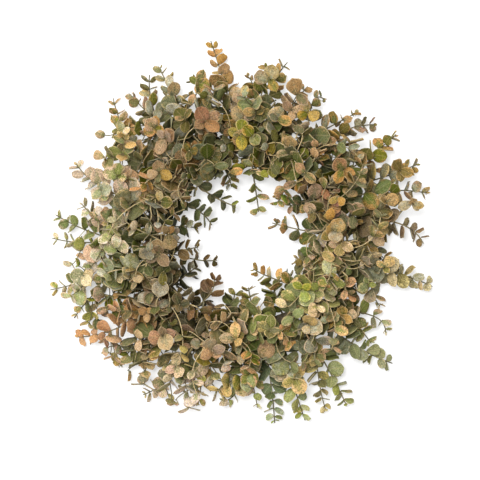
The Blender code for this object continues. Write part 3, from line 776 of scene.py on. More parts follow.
# Leaf colours by tint: the young green, what it turns to, and how far it has turned
TINT_COLOURS = {
    "leaf_sage": ((0.165, 0.185, 0.072), (0.44, 0.39, 0.180), -0.38),
    "leaf_olive": ((0.128, 0.130, 0.024), (0.42, 0.29, 0.070), -0.24),
    "leaf_moss": ((0.070, 0.080, 0.013), (0.260, 0.195, 0.040), -0.36),
    "leaf_gold": ((0.160, 0.150, 0.030), (0.52, 0.31, 0.095), -0.08),
    "leaf_peach": ((0.185, 0.155, 0.050), (0.64, 0.345, 0.160), 0.00),
    "leaf_cream": ((0.235, 0.212, 0.088), (0.66, 0.48, 0.260), -0.06),
    "leaf_rust": ((0.145, 0.105, 0.026), (0.50, 0.215, 0.080), 0.03),
    "leaf_rose": ((0.145, 0.120, 0.050), (0.48, 0.255, 0.150), -0.02),
}

# Colours that leaves of every tint are mixed with
FRESH_GREENS = ((0.100, 0.140, 0.028), (0.085, 0.105, 0.018), (0.190, 0.200, 0.034),
                (0.150, 0.175, 0.078), (0.120, 0.108, 0.050), (0.145, 0.112, 0.042),
                (0.075, 0.125, 0.036))
TURNED = ((0.55, 0.30, 0.120), (0.50, 0.35, 0.095), (0.41, 0.22, 0.135), (0.62, 0.46, 0.260),
          (0.33, 0.20, 0.095), (0.32, 0.24, 0.105), (0.36, 0.32, 0.120), (0.33, 0.17, 0.130),
          (0.54, 0.27, 0.135))


class Region(NamedTuple):
    """Colours of the leaves at a place round the ring.

    It has their green, the colour that they turn to, how far they have turned, their bloom, and
    how light they are made, as painted light and shade, near the hole, in the middle of the band and
    at its outer edge.
    """
    green: tuple
    turned: tuple
    turn: float
    bloom: float
    gains: tuple


# Regions at equal steps round the ring, from the right
REGIONS = (
    Region((0.120, 0.106, 0.042), (0.38, 0.225, 0.120), -0.10, 0.00, (0.98, 1.16, 0.60)),
    Region((0.098, 0.104, 0.030), (0.42, 0.250, 0.110), -0.22, 0.00, (0.78, 0.86, 0.88)),
    Region((0.125, 0.122, 0.045), (0.50, 0.300, 0.165), -0.04, 0.02, (1.06, 1.03, 0.72)),
    Region((0.125, 0.136, 0.034), (0.50, 0.330, 0.115), -0.21, 0.00, (1.03, 0.74, 0.86)),
    Region((0.118, 0.126, 0.034), (0.58, 0.335, 0.120), -0.27, 0.00, (0.34, 0.70, 0.88)),
    Region((0.190, 0.205, 0.064), (0.66, 0.430, 0.190), -0.20, 0.05, (0.70, 1.22, 1.08)),
    Region((0.235, 0.265, 0.095), (0.72, 0.475, 0.290), -0.12, 0.10, (0.54, 1.70, 2.15)),
    Region((0.165, 0.165, 0.062), (0.62, 0.390, 0.205), 0.14, 0.03, (0.34, 0.76, 0.94)),
    Region((0.155, 0.142, 0.054), (0.62, 0.370, 0.205), -0.03, 0.02, (0.39, 1.16, 1.42)),
    Region((0.160, 0.168, 0.060), (0.64, 0.430, 0.220), 0.00, 0.04, (1.36, 0.74, 2.45)),
    Region((0.225, 0.260, 0.095), (0.60, 0.480, 0.260), -0.28, 0.08, (1.56, 0.72, 1.16)),
    Region((0.175, 0.178, 0.074), (0.55, 0.370, 0.220), -0.05, 0.04, (1.80, 1.08, 1.66)),
)
REGION_STEP_DEG = 360 / len(REGIONS)

# Reach of the dense foliage at equal steps round the ring from the right, and where it starts
BAND_REACH_MM = (236, 246, 230, 216, 238, 244, 254, 280, 212, 264, 276, 276, 276, 272, 184, 186,
                 246, 180)
BAND_STEP_DEG = 360 / len(BAND_REACH_MM)
BAND_START = 106 * MM

# Seeds of the random numbers that place the leaves and of those that colour them
LAYOUT_SEED = 12
PAINT_SEED = 8

# The modelled blades and stems, the planned sprays, and the random numbers for the colours
PATTERNS = {}
PLAN = []
PAINT = random.Random(PAINT_SEED)


def degrees_round(place):
    """Angle of a place round the ring, in degrees from the right."""
    return math.degrees(math.atan2(place.y, place.x)) % 360


def colour_setting(name, colour):
    """Colour that a user can change in the sidebar."""
    return FloatVectorProperty(name=name, description=name + ", as linear red, green and blue",
                               subtype="COLOR", size=3, min=0.0, max=1.0, default=colour)


class WreathLeafSettings(bpy.types.PropertyGroup):
    """Sizes of the leaves and how they are spread."""
    leaf_share: FloatProperty(
        name="Leaf Share", description="Length of a leaf as a share of its solid's",
        default=0.84, min=0.4, max=1.0, subtype="FACTOR")
    thickness: FloatProperty(
        name="Blade Thickness", description="Thickness of a blade as a share of its length",
        default=0.022, min=0.005, max=0.1, subtype="FACTOR")
    pair_spacing: FloatProperty(
        name="Pair Spacing", description="Distance between pairs of leaves on a side twig",
        default=0.0185, min=0.005, max=0.05, unit="LENGTH")
    twig_spacing: FloatProperty(
        name="Twig Spacing", description="Distance between side twigs along a stem",
        default=0.026, min=0.01, max=0.2, unit="LENGTH")
    twig_length: FloatProperty(
        name="Twig Length", description="Length of the longest side twigs",
        default=0.066, min=0.02, max=0.15, unit="LENGTH")
    stem_radius: FloatProperty(
        name="Stem Radius", description="Radius of a main stem at the ring",
        default=0.0015, min=0.0004, max=0.003, unit="LENGTH")
    tip_radius: FloatProperty(
        name="Tip Radius", description="Radius of a stem at its tip",
        default=0.0009, min=0.0002, max=0.002, unit="LENGTH")


class WreathColourSettings(bpy.types.PropertyGroup):
    """Colours that all the tints share."""
    # The shaded stem colour is partly the stems' own dark green and partly painted shade
    stem_green_and_shade: colour_setting("Shaded Stem", (0.062, 0.058, 0.024))
    stem_tan: colour_setting("Pale Stem", (0.52, 0.40, 0.21))
    shade_leaf: colour_setting("Shaded Leaf", (0.028, 0.034, 0.004))
    underside: colour_setting("Leaf Underside", (0.22, 0.21, 0.14))
    bloom: colour_setting("Waxy Bloom", (0.60, 0.58, 0.47))
    bark: colour_setting("Vine Bark", (0.050, 0.036, 0.018))
    wire: colour_setting("Tie Wire", (0.075, 0.09, 0.05))


class WreathStageSettings(bpy.types.PropertyGroup):
    """Floor, lights and camera."""
    frame_width: FloatProperty(
        name="Frame Width", description="Width that the camera shows at the wreath",
        default=0.75, min=0.1, max=5.0, unit="LENGTH")
    lens: FloatProperty(
        name="Lens", description="Focal length of the camera in millimetres", default=90.0, min=20.0,
        max=250.0)
    floor_colour: colour_setting("Floor", (0.55, 0.55, 0.55))
    floor_glow: FloatProperty(
        name="Floor Glow", description="Light that comes up through the pale floor",
        default=0.45, min=0.0, max=2.0)
    key_power: FloatProperty(
        name="Key Light", description="Power of the broad soft light above", default=35.0, min=0.0,
        max=500.0)
    side_power: FloatProperty(
        name="Side Light", description="Power of the smaller light from the top left", default=16.0,
        min=0.0, max=500.0)
    fill_strength: FloatProperty(
        name="Fill Light", description="Strength of the light from all round", default=0.72, min=0.0,
        max=5.0)


def leaf_settings():
    """Sizes from the sidebar."""
    return bpy.context.scene.wreath_leaves


def colour_settings():
    """Shared colours from the sidebar."""
    return bpy.context.scene.wreath_colours


class Sprig(NamedTuple):
    """A drawn stem or twig.

    It has its points, directions along and across it, the radius at both ends, how pale it is,
    and the sides and steps that it is drawn with.
    """
    points: list
    alongs: list
    sides: list
    root_radius: float
    tip_radius: float
    pale: float
    pattern: tuple


class Place(NamedTuple):
    """A place on a drawn stem: its point, the stem's direction and radius, and a way across it."""
    point: Vector
    along: Vector
    radius: float
    side: Vector


class Blade(NamedTuple):
    """A drawn leaf.

    It has its place, form and two colours, how far it has turned, and how strong its waxy bloom
    and its pale rim are; the rim is partly the leaf's own paler margin and partly painted highlight.
    """
    leaf: Leaf
    form: str
    core: tuple
    edge: tuple
    turn: float
    bloom: float
    rim: float


class Palette(NamedTuple):
    """Colours that the leaves of one stem share: green, turned, how far turned, and bloom."""
    green: tuple
    turned: tuple
    turn: float
    bloom: float


def select_none():
    """Leave nothing selected, so that an operator acts on new pieces alone."""
    if bpy.context.mode != "OBJECT":
        bpy.ops.object.mode_set(mode="OBJECT")
    bpy.ops.object.select_all(action="DESELECT")


def pick(mesh, chosen):
    """Select the vertices with the chosen numbers for the next edit."""
    bpy.ops.object.mode_set(mode="OBJECT")
    flags = np.zeros(len(mesh.vertices), dtype=bool)
    flags[list(chosen)] = True
    mesh.vertices.foreach_set("select", flags)
    mesh.edges.foreach_set("select", np.zeros(len(mesh.edges), dtype=bool))
    mesh.polygons.foreach_set("select", np.zeros(len(mesh.polygons), dtype=bool))
    bpy.ops.object.mode_set(mode="EDIT")


def model_blade(name, thickness):
    """One leaf blade of unit length along +Y, its upper face up, shaped row by row from a grid."""
    form = BLADE_FORMS[name]
    last = len(form.places) - 1
    select_none()
    bpy.ops.mesh.primitive_grid_add(x_subdivisions=form.columns, y_subdivisions=last, size=1)
    blade = bpy.context.object
    blade.name = name + "_blade"
    mesh = blade.data
    rows = [[] for _ in range(last + 1)]
    columns = [[] for _ in range(form.columns + 1)]
    for vertex in mesh.vertices:
        rows[round((vertex.co.y + 0.5) * last)].append(vertex.index)
        columns[round((vertex.co.x + 0.5) * form.columns)].append(vertex.index)
    bpy.ops.object.mode_set(mode="EDIT")
    bpy.ops.mesh.select_mode(type="VERT")
    for row, chosen in enumerate(rows):
        pick(mesh, chosen)
        old = row / last - 0.5
        bpy.ops.transform.resize(value=(form.halves[row] * 2, 1, 1), center_override=(0, old, 0))
        drop = -form.bend * form.places[row] ** 2
        bpy.ops.transform.translate(value=(0, form.places[row] - old, drop))
    for column, chosen in enumerate(columns):
        outward = abs(column / form.columns - 0.5) * 2
        if outward > 0:
            pick(mesh, [index for index in chosen if index not in rows[0]])
            lift = form.cup * outward ** 2 + form.fold * outward
            bpy.ops.transform.translate(value=(0, 0, lift))
    for side, column in ((1, columns[0]), (-1, columns[-1])):
        for row in range(1, last):
            pick(mesh, [index for index in column if index in rows[row]])
            ripple = form.wave * math.sin(math.tau * WAVES * form.places[row] + side)
            bpy.ops.transform.translate(value=(0, 0, ripple))
    pick(mesh, [index for index in columns[0] + columns[-1] if index in rows[-1]])
    bpy.ops.transform.translate(value=(0, -CORNER_DROP, -form.cup * CORNER_CUP))
    bpy.ops.object.mode_set(mode="OBJECT")
    rim = set(rows[0] + rows[-1] + columns[0] + columns[-1])
    edge = mesh.attributes.new("rim", "FLOAT", "POINT")
    for vertex in mesh.vertices:
        edge.data[vertex.index].value = 1.0 if vertex.index in rim else 0.0
    wall = blade.modifiers.new("wall", "SOLIDIFY")
    wall.thickness = thickness
    wall.offset = 0.0
    bpy.ops.object.modifier_apply(modifier=wall.name)
    return read_pattern(blade)


def model_stem(sides, steps):
    """One length of stem along +Z from 0 to 1, extruded ring by ring from a small circle."""
    select_none()
    bpy.ops.mesh.primitive_circle_add(vertices=sides, radius=1, fill_type="NGON")
    stem = bpy.context.object
    stem.name = "stem_pattern"
    bpy.ops.object.mode_set(mode="EDIT")
    bpy.ops.mesh.select_mode(type="FACE")
    bpy.ops.mesh.select_all(action="SELECT")
    for _ in range(steps):
        bpy.ops.mesh.extrude_region_move(TRANSFORM_OT_translate={"value": (0, 0, 1 / steps)})
    bpy.ops.mesh.select_all(action="SELECT")
    bpy.ops.mesh.normals_make_consistent(inside=False)
    bpy.ops.object.mode_set(mode="OBJECT")
    return read_pattern(stem)


def read_pattern(made):
    """Read a modelled pattern into arrays for copying, and remove its object."""
    mesh = made.data
    count = len(mesh.vertices)
    places = np.zeros(count * 3)
    mesh.vertices.foreach_get("co", places)
    normals = np.zeros(count * 3)
    mesh.vertices.foreach_get("normal", normals)
    rim = np.zeros(count)
    if "rim" in mesh.attributes:
        mesh.attributes["rim"].data.foreach_get("value", rim)
    faces = [tuple(face.vertices) for face in mesh.polygons]
    flat = [len(face.vertices) == 4 and abs(face.normal.z) < FLAT_SLOPE for face in mesh.polygons]
    pattern = {"places": places.reshape(-1, 3), "normals": normals.reshape(-1, 3), "rim": rim,
               "faces": faces, "flat": flat}
    bpy.data.objects.remove(made)
    bpy.data.meshes.remove(mesh)
    return pattern


def all_patterns():
    """The modelled blades and stems, made once."""
    if not PATTERNS:
        thickness = leaf_settings().thickness
        for name in BLADE_FORMS:
            PATTERNS[name] = model_blade(name, thickness)
        for shape in (STEM_PATTERN, TWIG_PATTERN):
            PATTERNS[shape] = model_stem(*shape)
    return PATTERNS


def sprig_along(curve, end, spin, radii, pale, pattern):
    """Drawn stem on a cubic curve, its cross directions carried along without twist."""
    steps = pattern[1]
    points = [bezier(curve, end * index / steps) for index in range(steps + 1)]
    sides = [side for side, _ in stem_frames(points, spin)]
    return Sprig(points, tangents_of(points), sides, *radii, pale, pattern)


def sprig_place(sprig, share):
    """The place at a share of a drawn stem."""
    at = share * (len(sprig.points) - 1)
    index = min(int(at), len(sprig.points) - 2)
    part = at - index
    point = sprig.points[index].lerp(sprig.points[index + 1], part)
    along = unit(sprig.alongs[index].lerp(sprig.alongs[index + 1], part))
    side = sprig.sides[index].lerp(sprig.sides[index + 1], part)
    side = unit(side - along * side.dot(along))
    radius = sprig.root_radius + (sprig.tip_radius - sprig.root_radius) * share
    return Place(point, along, radius, side)


def sprig_length(sprig):
    """Length of a drawn stem."""
    return sum((b - a).length for a, b in zip(sprig.points, sprig.points[1:]))


class LeafBed:
    """Grid of all that has been placed, so that new leaves are kept clear of it."""

    cell = 30 * MM

    def __init__(self):
        self.cells = {}

    def keys(self, points):
        """Cells that the box round some points covers."""
        low = [math.floor(min(p[axis] for p in points) / self.cell) for axis in range(3)]
        high = [math.floor(max(p[axis] for p in points) / self.cell) for axis in range(3)]
        for x in range(low[0], high[0] + 1):
            for y in range(low[1], high[1] + 1):
                for z in range(low[2], high[2] + 1):
                    yield x, y, z

    def add(self, tree, points):
        """Add a search tree in the cells that its points cover."""
        for key in self.keys(points):
            self.cells.setdefault(key, []).append(tree)

    def touches(self, tree, points):
        """Whether a new shape touches any of those that are placed."""
        seen = set()
        for key in self.keys(points):
            for placed in self.cells.get(key, ()):
                if id(placed) not in seen:
                    seen.add(id(placed))
                    if placed.overlap(tree):
                        return True
        return False


# Steps of a stem that the bed holds as one shape
BED_STEPS = 4


def add_sprig(bed, sprig):
    """Add a stem to the bed, length by length."""
    for start in range(0, len(sprig.points) - 1, BED_STEPS):
        points = sprig.points[start:start + BED_STEPS + 1]
        radii = [sprig.root_radius] * len(points)
        bed.add(tree_of(tube_shell(points, radii)), points)


def is_free(bed, sprig, first):
    """Whether a stem touches nothing, counted from one of its first points on."""
    points = sprig.points[first:]
    shell = tube_shell(points, [sprig.root_radius] * len(points))
    return not bed.touches(tree_of(shell), points)


# Points at which a leaf marks the ground under it: along it, to each side, and their spacing across
COVER_ROWS = 8
COVER_SIDE = 3
COVER_SPACING = 0.14


class Cover:
    """Map of what the leaves cover, seen from the front."""

    step = 3 * MM

    def __init__(self):
        self.cells = set()

    def key(self, point):
        return round(point.x / self.step), round(point.y / self.step)

    def mark(self, leaf):
        """Mark the cells under a leaf."""
        side = leaf.along.cross(leaf.normal)
        for row in range(1, COVER_ROWS + 1):
            middle = leaf.root + leaf.along * (leaf.length * row / (COVER_ROWS + 0.5))
            for across in range(-COVER_SIDE, COVER_SIDE + 1):
                spread = side * (leaf.width * COVER_SPACING * across)
                self.cells.add(self.key(middle + spread))

    def bare(self, points, start, cut):
        """How many of the points lie on bare ground in the dense band, less those outside it."""
        found = 0
        for point in points:
            around = degrees_round(point) / BAND_STEP_DEG
            here = BAND_REACH_MM[int(around)]
            after = BAND_REACH_MM[(int(around) + 1) % len(BAND_REACH_MM)]
            limit = (here + (after - here) * (around % 1)) * MM - cut
            reach = point.xy.length
            if reach > limit or reach < start:
                found -= 1
            elif self.key(point) not in self.cells:
                found += 1
        return found


def mix(a, b, share):
    """Colour between two others."""
    return tuple(x + (y - x) * share for x, y in zip(a, b))


def clamp(value):
    """Value kept from 0 to 1."""
    return max(0.0, min(1.0, value))


# The brightest leaves are held back above a peak, and those over a second one lose some hue
LEAF_PEAK = 0.56
PEAK_SHARE = 0.40
HUE_PEAK = 0.48
HUE_LOSS = 0.9
# A bright leaf has its weakest colour raised towards the others, so that no colour of a bright leaf is
# pure
PALING_START = 0.26
PALING_SHARE = 0.42


def richer(colour, richness, gain):
    """Colour with its hue made stronger or weaker, times a gain that holds back the brightest."""
    grey = sum(colour) / 3
    peak = max(colour) * gain
    if peak > LEAF_PEAK:
        gain *= (LEAF_PEAK + (peak - LEAF_PEAK) * PEAK_SHARE) / peak
    richness *= 1.0 - max(0.0, peak - HUE_PEAK) * HUE_LOSS
    least = max(0.0, max(colour) * gain - PALING_START) * PALING_SHARE
    return tuple(max(least, (grey + (c - grey) * richness) * gain) for c in colour)


def regions_beside(around):
    """The regions before and after a place round the ring."""
    return (REGIONS[(math.floor(around) + step) % len(REGIONS)] for step in (0, 1))


# Spread of the stems' colours: place in the regions, share of the tint's own turn, turn, bloom
# as mean and spread, and hue
REGION_BLUR = 0.3
TINT_TURN_SHARE = 0.5
STEM_TURN_SPREAD = 0.24
STEM_BLOOM = (-0.05, 0.15)
STEM_RICHNESS = (0.78, 1.28)

# Some of the extra twigs stand out in one of these colours
ACCENT_CHANCE = 0.25
ACCENTS = ((0.54, 0.29, 0.110), (0.46, 0.31, 0.090), (0.62, 0.39, 0.215), (0.28, 0.28, 0.080),
           (0.46, 0.25, 0.150), (0.58, 0.42, 0.230))
ACCENT_TURN = 0.12
ACCENT_MIX = 0.55
# Their young leaves are a darker shade of it
ACCENT_GREEN_TONE = 0.5
ACCENT_GREEN_MIX = 0.6


def draw_palette(tint, place, accent=None):
    """Colours of a stem: its tint, mixed with those of its region of the wreath and with others."""
    green, turned, turn = TINT_COLOURS[tint]
    around = degrees_round(place) / REGION_STEP_DEG + PAINT.gauss(0, REGION_BLUR)
    here, after = regions_beside(around)
    part = around % 1
    share = PAINT.random()
    green = mix(green, mix(here.green, after.green, part), share)
    turned = mix(turned, mix(here.turned, after.turned, part), share)
    turn = turn * TINT_TURN_SHARE + here.turn + (after.turn - here.turn) * part
    turn += PAINT.gauss(0.0, STEM_TURN_SPREAD)
    bloom = here.bloom + (after.bloom - here.bloom) * part + PAINT.gauss(*STEM_BLOOM)
    if accent is None:
        green = mix(green, PAINT.choice(FRESH_GREENS), PAINT.random() ** 2)
        turned = mix(turned, PAINT.choice(TURNED), PAINT.random() ** 2)
    else:
        green = mix(green, tuple(c * ACCENT_GREEN_TONE for c in accent), ACCENT_GREEN_MIX)
        turned = mix(turned, accent, ACCENT_MIX)
        turn += ACCENT_TURN
    richness = PAINT.uniform(*STEM_RICHNESS)
    return Palette(richer(green, richness, 1.0), richer(turned, richness, 1.0), turn, bloom)


# Distances from the middle at which a region's three gains of painted light and shade hold
REGION_PLACES = (0.136, 0.195, 0.262)


def region_gain(middle):
    """Painted light and shade: how light a leaf is made for its place round the ring and across it."""
    around = degrees_round(middle) / REGION_STEP_DEG
    reach = middle.xy.length
    here, after = (np.interp(reach, REGION_PLACES, region.gains)
                   for region in regions_beside(around))
    return here + (after - here) * (around % 1)


# Spread of the leaves of one stem: share of other colours, how far they turn more towards the tip,
# bloom as mean and spread, lightness, hue, and how strong their pale rims can be, which are partly
# painted highlight
LEAF_VARIETY = 0.45
TURN_ALONG = 0.55
TURN_SPREAD = 0.24
BLOOM = (-0.05, 0.15)
MOST_BLOOM = 0.75
LEAF_GAIN = (0.87, 1.09)
LEAF_RICHNESS = (0.84, 1.18)
RIM_AND_HIGHLIGHT_STRENGTH = 0.8

# A few leaves are nearly white with bloom
PALE_BLOOM = 0.55
PALE_SHARE = 0.012

# Leaves are in shade below this height and inside this reach, but less at the edge of the hole
SHADE_HEIGHT = 54 * MM
SHADE_DEPTH = 30 * MM
SHADE_REACH = 215 * MM
SHADE_FADE = 50 * MM
HOLE_FADE = 30 * MM
SHADE_SPREAD = (0.7, 1.2)
DEEPEST_SHADE = 0.94
# Shaded leaves have turned less, and their turned colour is a little less dark
SHADE_TURN = 0.3
SHADE_ON_TURNED = 0.85

# Painted light: high leaves are made lighter than low ones
LOW_LEAF = 30 * MM
HIGH_LEAF = 88 * MM
HEIGHT_GAIN = (0.92, 1.07)

# Painted shade makes leaves darker and richer round the hole, and painted light makes them lighter
# at the outer edge, where they also have more bloom and have turned further
GAIN_PLACES = (0.12, 0.19, 0.245, 0.29)
GAIN_ACROSS = (0.69, 0.84, 1.07, 1.12)
RICHNESS = (1.15, 1.08, 1.00, 1.03)
OUTER_BLOOM = 0.09
OUTER_TURN = 0.10

# Painted light: the sprays at the top of the hole are made lighter and have less of the painted
# shade, and they are greener
LIT_SIDE = math.radians(78)
LIT_REACH = (0.096, 0.118)
LIT_GAIN = 1.3
LIT_OUT_OF_SHADE = 0.7
LIT_TURN = 0.45


def leaf_colours(palette, share, leaf):
    """Colours and marks of a leaf: it turns more towards the tips, is darker in painted shade, and
    painted light sets its lightness by height and place.
    """
    shared = colour_settings()
    middle = leaf.root + leaf.along * (leaf.length * 0.5)
    reach = middle.xy.length
    green = mix(palette.green, PAINT.choice(FRESH_GREENS), PAINT.random() * LEAF_VARIETY)
    turned = mix(palette.turned, PAINT.choice(TURNED), PAINT.random() * LEAF_VARIETY)
    turn = palette.turn + TURN_ALONG * (share - 0.5) + PAINT.gauss(0.0, TURN_SPREAD)

    lit = max(0.0, math.cos(math.atan2(middle.y, middle.x) - LIT_SIDE))
    lit *= np.interp(reach, LIT_REACH, (1.0, 0.0))
    shade = clamp((SHADE_HEIGHT - middle.z) / SHADE_DEPTH)
    shade *= clamp((SHADE_REACH - reach) / SHADE_FADE)
    shade *= clamp((reach - HOLE_RADIUS) / HOLE_FADE)
    shade = min(DEEPEST_SHADE, shade * PAINT.uniform(*SHADE_SPREAD))
    shade *= 1.0 - lit * LIT_OUT_OF_SHADE
    green = mix(green, shared.shade_leaf, shade)
    turned = mix(turned, shared.shade_leaf, shade * SHADE_ON_TURNED)
    turn -= shade * SHADE_TURN + lit * LIT_TURN

    # Painted light and shade: a leaf is made lighter the higher it is, its lightness is set by its place
    # across the band and round the ring, and it is made lighter at the top of the hole
    raised = clamp((middle.z - LOW_LEAF) / (HIGH_LEAF - LOW_LEAF))
    gain = PAINT.uniform(*LEAF_GAIN) * (HEIGHT_GAIN[0] + (HEIGHT_GAIN[1] - HEIGHT_GAIN[0]) * raised)
    gain *= np.interp(reach, GAIN_PLACES, GAIN_ACROSS) * region_gain(middle)
    gain *= 1.0 + LIT_GAIN * lit
    richness = np.interp(reach, GAIN_PLACES, RICHNESS) * PAINT.uniform(*LEAF_RICHNESS)
    green = richer(green, richness, gain)
    turned = richer(turned, richness, gain)

    bloom = PALE_BLOOM if PAINT.random() < PALE_SHARE else palette.bloom + PAINT.gauss(*BLOOM)
    outer = clamp((reach - GAIN_PLACES[1]) / (GAIN_PLACES[3] - GAIN_PLACES[1]))
    turn += OUTER_TURN * outer
    bloom = max(0.0, min(MOST_BLOOM, bloom + OUTER_BLOOM * outer)) * (1.0 - shade)
    return green, turned, turn, bloom, RIM_AND_HIGHLIGHT_STRENGTH * PAINT.random() ** 2


# Height that no leaf hangs below, height that extra ones stay below, and the air round those
LEAF_LOWEST = 1.0 * MM
LEAF_HIGHEST = 102 * MM
LEAF_AIR = 0.25 * MM
# Extra leaves and twigs stay outside this radius, but for the pairs on the inner sprays
INNER_CLEAR = 96 * MM
# Depth of a drawn leaf's cup as a share of its length
GUARD_CUP = 0.06
# A drawn leaf starts inside its stem, this share of the stem's radius from the stem's own line
BLADE_ROOT_SHIFT = 0.5
# A leaf that hangs too low is made smaller step by step
FLOOR_TRIES = 12
FLOOR_SHRINK = 0.92


def rolled(leaf, angle):
    """The leaf turned about its own length."""
    side = leaf.along.cross(leaf.normal)
    return leaf._replace(normal=unit(leaf.normal * math.cos(angle) + side * math.sin(angle)))


def lowest(leaf, form):
    """Height of the lowest part of a leaf, with the bend and wave of its form."""
    shape = BLADE_FORMS[form]
    sag = max(0.0, shape.bend * leaf.normal.z) + shape.wave + GUARD_CUP * abs(leaf.normal.z)
    return min(point.z for point in leaf_outline(leaf)) - sag * leaf.length


def above_floor(leaf, form):
    """The leaf, made smaller until none of it hangs too low."""
    for _ in range(FLOOR_TRIES):
        if lowest(leaf, form) >= LEAF_LOWEST:
            break
        leaf = leaf._replace(length=leaf.length * FLOOR_SHRINK, width=leaf.width * FLOOR_SHRINK)
    return leaf


def form_of(share, length, hole, draw):
    """Name of a form for a leaf at a share of its stem."""
    if hole and length > SMALL_BLADE:
        return draw.choice(HOLE_FORMS)
    for last, names in LARGE_FORMS if length > SMALL_BLADE else SMALL_FORMS:
        if share < last:
            return draw.choice(names)
    return names[0]


def form_width(name):
    """Width of a form as a share of its length."""
    return 2 * max(BLADE_FORMS[name].halves)


def leaf_on(place, along, normal, length, form):
    """A leaf of a form that starts just inside its stem."""
    return Leaf(place.point + along * (place.radius * BLADE_ROOT_SHIFT), along, normal, length,
                length * form_width(form), length * GUARD_CUP)


def spoke_at(place, azimuth):
    """Direction out of a stem at an angle round it."""
    return place.side * math.cos(azimuth) + place.along.cross(place.side) * math.sin(azimuth)


BLADE_LEAN_DEG = (46, 78)


def draw_blade(place, azimuth, length, form, facing, draw):
    """One leaf beside a stem, leaning from it and turned a share of the way to face up."""
    spoke = spoke_at(place, azimuth)
    lean = math.radians(draw.uniform(*BLADE_LEAN_DEG))
    along = unit(place.along * math.cos(lean) + spoke * math.sin(lean))
    return leaf_on(place, along, leaf_normal(along, place.along, place.side, facing), length, form)


class Foliage:
    """The drawn wreath while it is planned.

    It has the sprays, the grid of all that has been placed, the map of what is covered, the
    random numbers that place the leaves, and the sizes from the sidebar.
    """

    def __init__(self, groups):
        self.groups = groups
        self.bed = LeafBed()
        self.cover = Cover()
        self.draw = random.Random(LAYOUT_SEED)
        self.sizes = leaf_settings()


def has_room(plan, leaf, form, outside):
    """Whether a leaf has a right height, touches nothing and, if asked, stays outside the hole."""
    rim = leaf_outline(leaf)
    if lowest(leaf, form) < LEAF_LOWEST or max(p.z for p in rim) > LEAF_HIGHEST:
        return False
    if outside and min(p.xy.length for p in rim) < INNER_CLEAR:
        return False
    return not plan.bed.touches(leaf_guard(leaf, ROOT_SHARE, LEAF_AIR), rim)


def add_leaf(plan, group, palette, leaf, form, share):
    """Add a leaf to its spray, to the bed and to the map of what is covered."""
    plan.bed.add(leaf_guard(leaf, ROOT_SHARE, 0.0), leaf_outline(leaf))
    plan.cover.mark(leaf)
    group["blades"].append(Blade(leaf, form, *leaf_colours(palette, share, leaf)))


# An extra leaf is tried up to this often, turned by more radians and smaller each time
PAIR_TRIES = 5
PAIR_TURN = 0.25
PAIR_SIZE = (0.88, 1.1)
PAIR_SHRINK = 0.05
# A leaf faces up by a share drawn between two values, which change from a stem's root to its tip
ROOT_FACING = (0.02, 0.90)
TIP_FACING = (0.0, 0.50)
# Some leaves are seen edge-on
EDGE_ON_SHARE = 0.36
EDGE_ON_FACING = (-0.15, 0.12)


def grow_leaf(plan, group, palette, place, azimuth, length, share, facing=None):
    """A leaf beside a stem, tried a few times for a place clear of the others."""
    draw = plan.draw
    hole = group["layer"] == "inner"
    form = form_of(share, length, hole, draw)
    low, high = (a + (b - a) * share for a, b in zip(ROOT_FACING, TIP_FACING))
    for attempt in range(PAIR_TRIES):
        turn = azimuth + draw.uniform(-PAIR_TURN, PAIR_TURN) * (1 + attempt)
        size = length * draw.uniform(*PAIR_SIZE) * (1 - PAIR_SHRINK * attempt)
        up = draw.uniform(low, high) if facing is None else facing
        if facing is None and draw.random() < EDGE_ON_SHARE:
            up = draw.uniform(*EDGE_ON_FACING)
        leaf = draw_blade(place, turn, size, form, up, draw)
        if has_room(plan, leaf, form, not hole):
            add_leaf(plan, group, palette, leaf, form, share)
            break


def grow_pair(plan, group, palette, place, azimuth, length, share):
    """A pair of opposite leaves."""
    for half_turn in (0.0, math.pi):
        grow_leaf(plan, group, palette, place, azimuth + half_turn, length, share)


class TwigRule(NamedTuple):
    """Side twigs of a layer.

    It has the layer, the shares of the stem between which they grow, their spacing and longest
    length as shares of the settings, how far they rise or drop at random, how many bare places
    one must run by, the size of their leaves, where the band that they fill starts, and how far
    short of its outer edge it ends.
    """
    layer: str
    first: float
    last: float
    spacing: float
    length: float
    climb: tuple
    least: float
    leaf: float
    start: float = BAND_START
    cut: float = 0.0


# Rounds in which side twigs are added
TWIG_RULES = (
    TwigRule("outer", 0.06, 0.72, 1.1, 1.0, (-0.25, 0.25), 3, 38 * MM),
    TwigRule("front", 0.05, 0.85, 1.25, 1.0, (-0.45, 0.10), -4, 39 * MM),
    TwigRule("inner", 0.04, 0.50, 0.9, 0.7, (-0.4, 0.3), 4, 27 * MM),
    TwigRule("outer", 0.04, 0.50, 0.6, 0.85, (-0.6, 0.1), 2, 34 * MM, cut=45 * MM),
    TwigRule("front", 0.05, 0.80, 0.9, 0.8, (-0.9, -0.1), 1, 36 * MM, cut=45 * MM),
    TwigRule("outer", 0.35, 0.80, 0.8, 0.8, (-0.3, 0.2), 7, 30 * MM, 215 * MM),
)

# A side twig's way out: how far it leans along its stem, how much of its own rise it keeps, its
# length as a share of the longest, how far its tip strays, and how full its curve is at both ends
TWIG_LEAN = (0.3, 1.0)
TWIG_RISE = 0.4
TWIG_REACH = (0.55, 1.0)
TWIG_STRAY = 0.15
TWIG_BEND = (0.35, 0.3)
# Shares of its way and of its stem's direction in the way that its tip points
TWIG_HEADING = (0.6, 0.5)

# Heights between which side twigs stay: their tips, and all of them
TWIG_FLOOR = 9 * MM
TWIG_CEILING = 94 * MM
TWIG_LOWEST = 5 * MM

# Points along a twig where the ground under it is looked at, and how far to its sides
CORRIDOR_POINTS = 6
TWIG_LEAF_REACH = 10 * MM

TWIG_TRIES = 18
FEWEST_TWIGS = 2
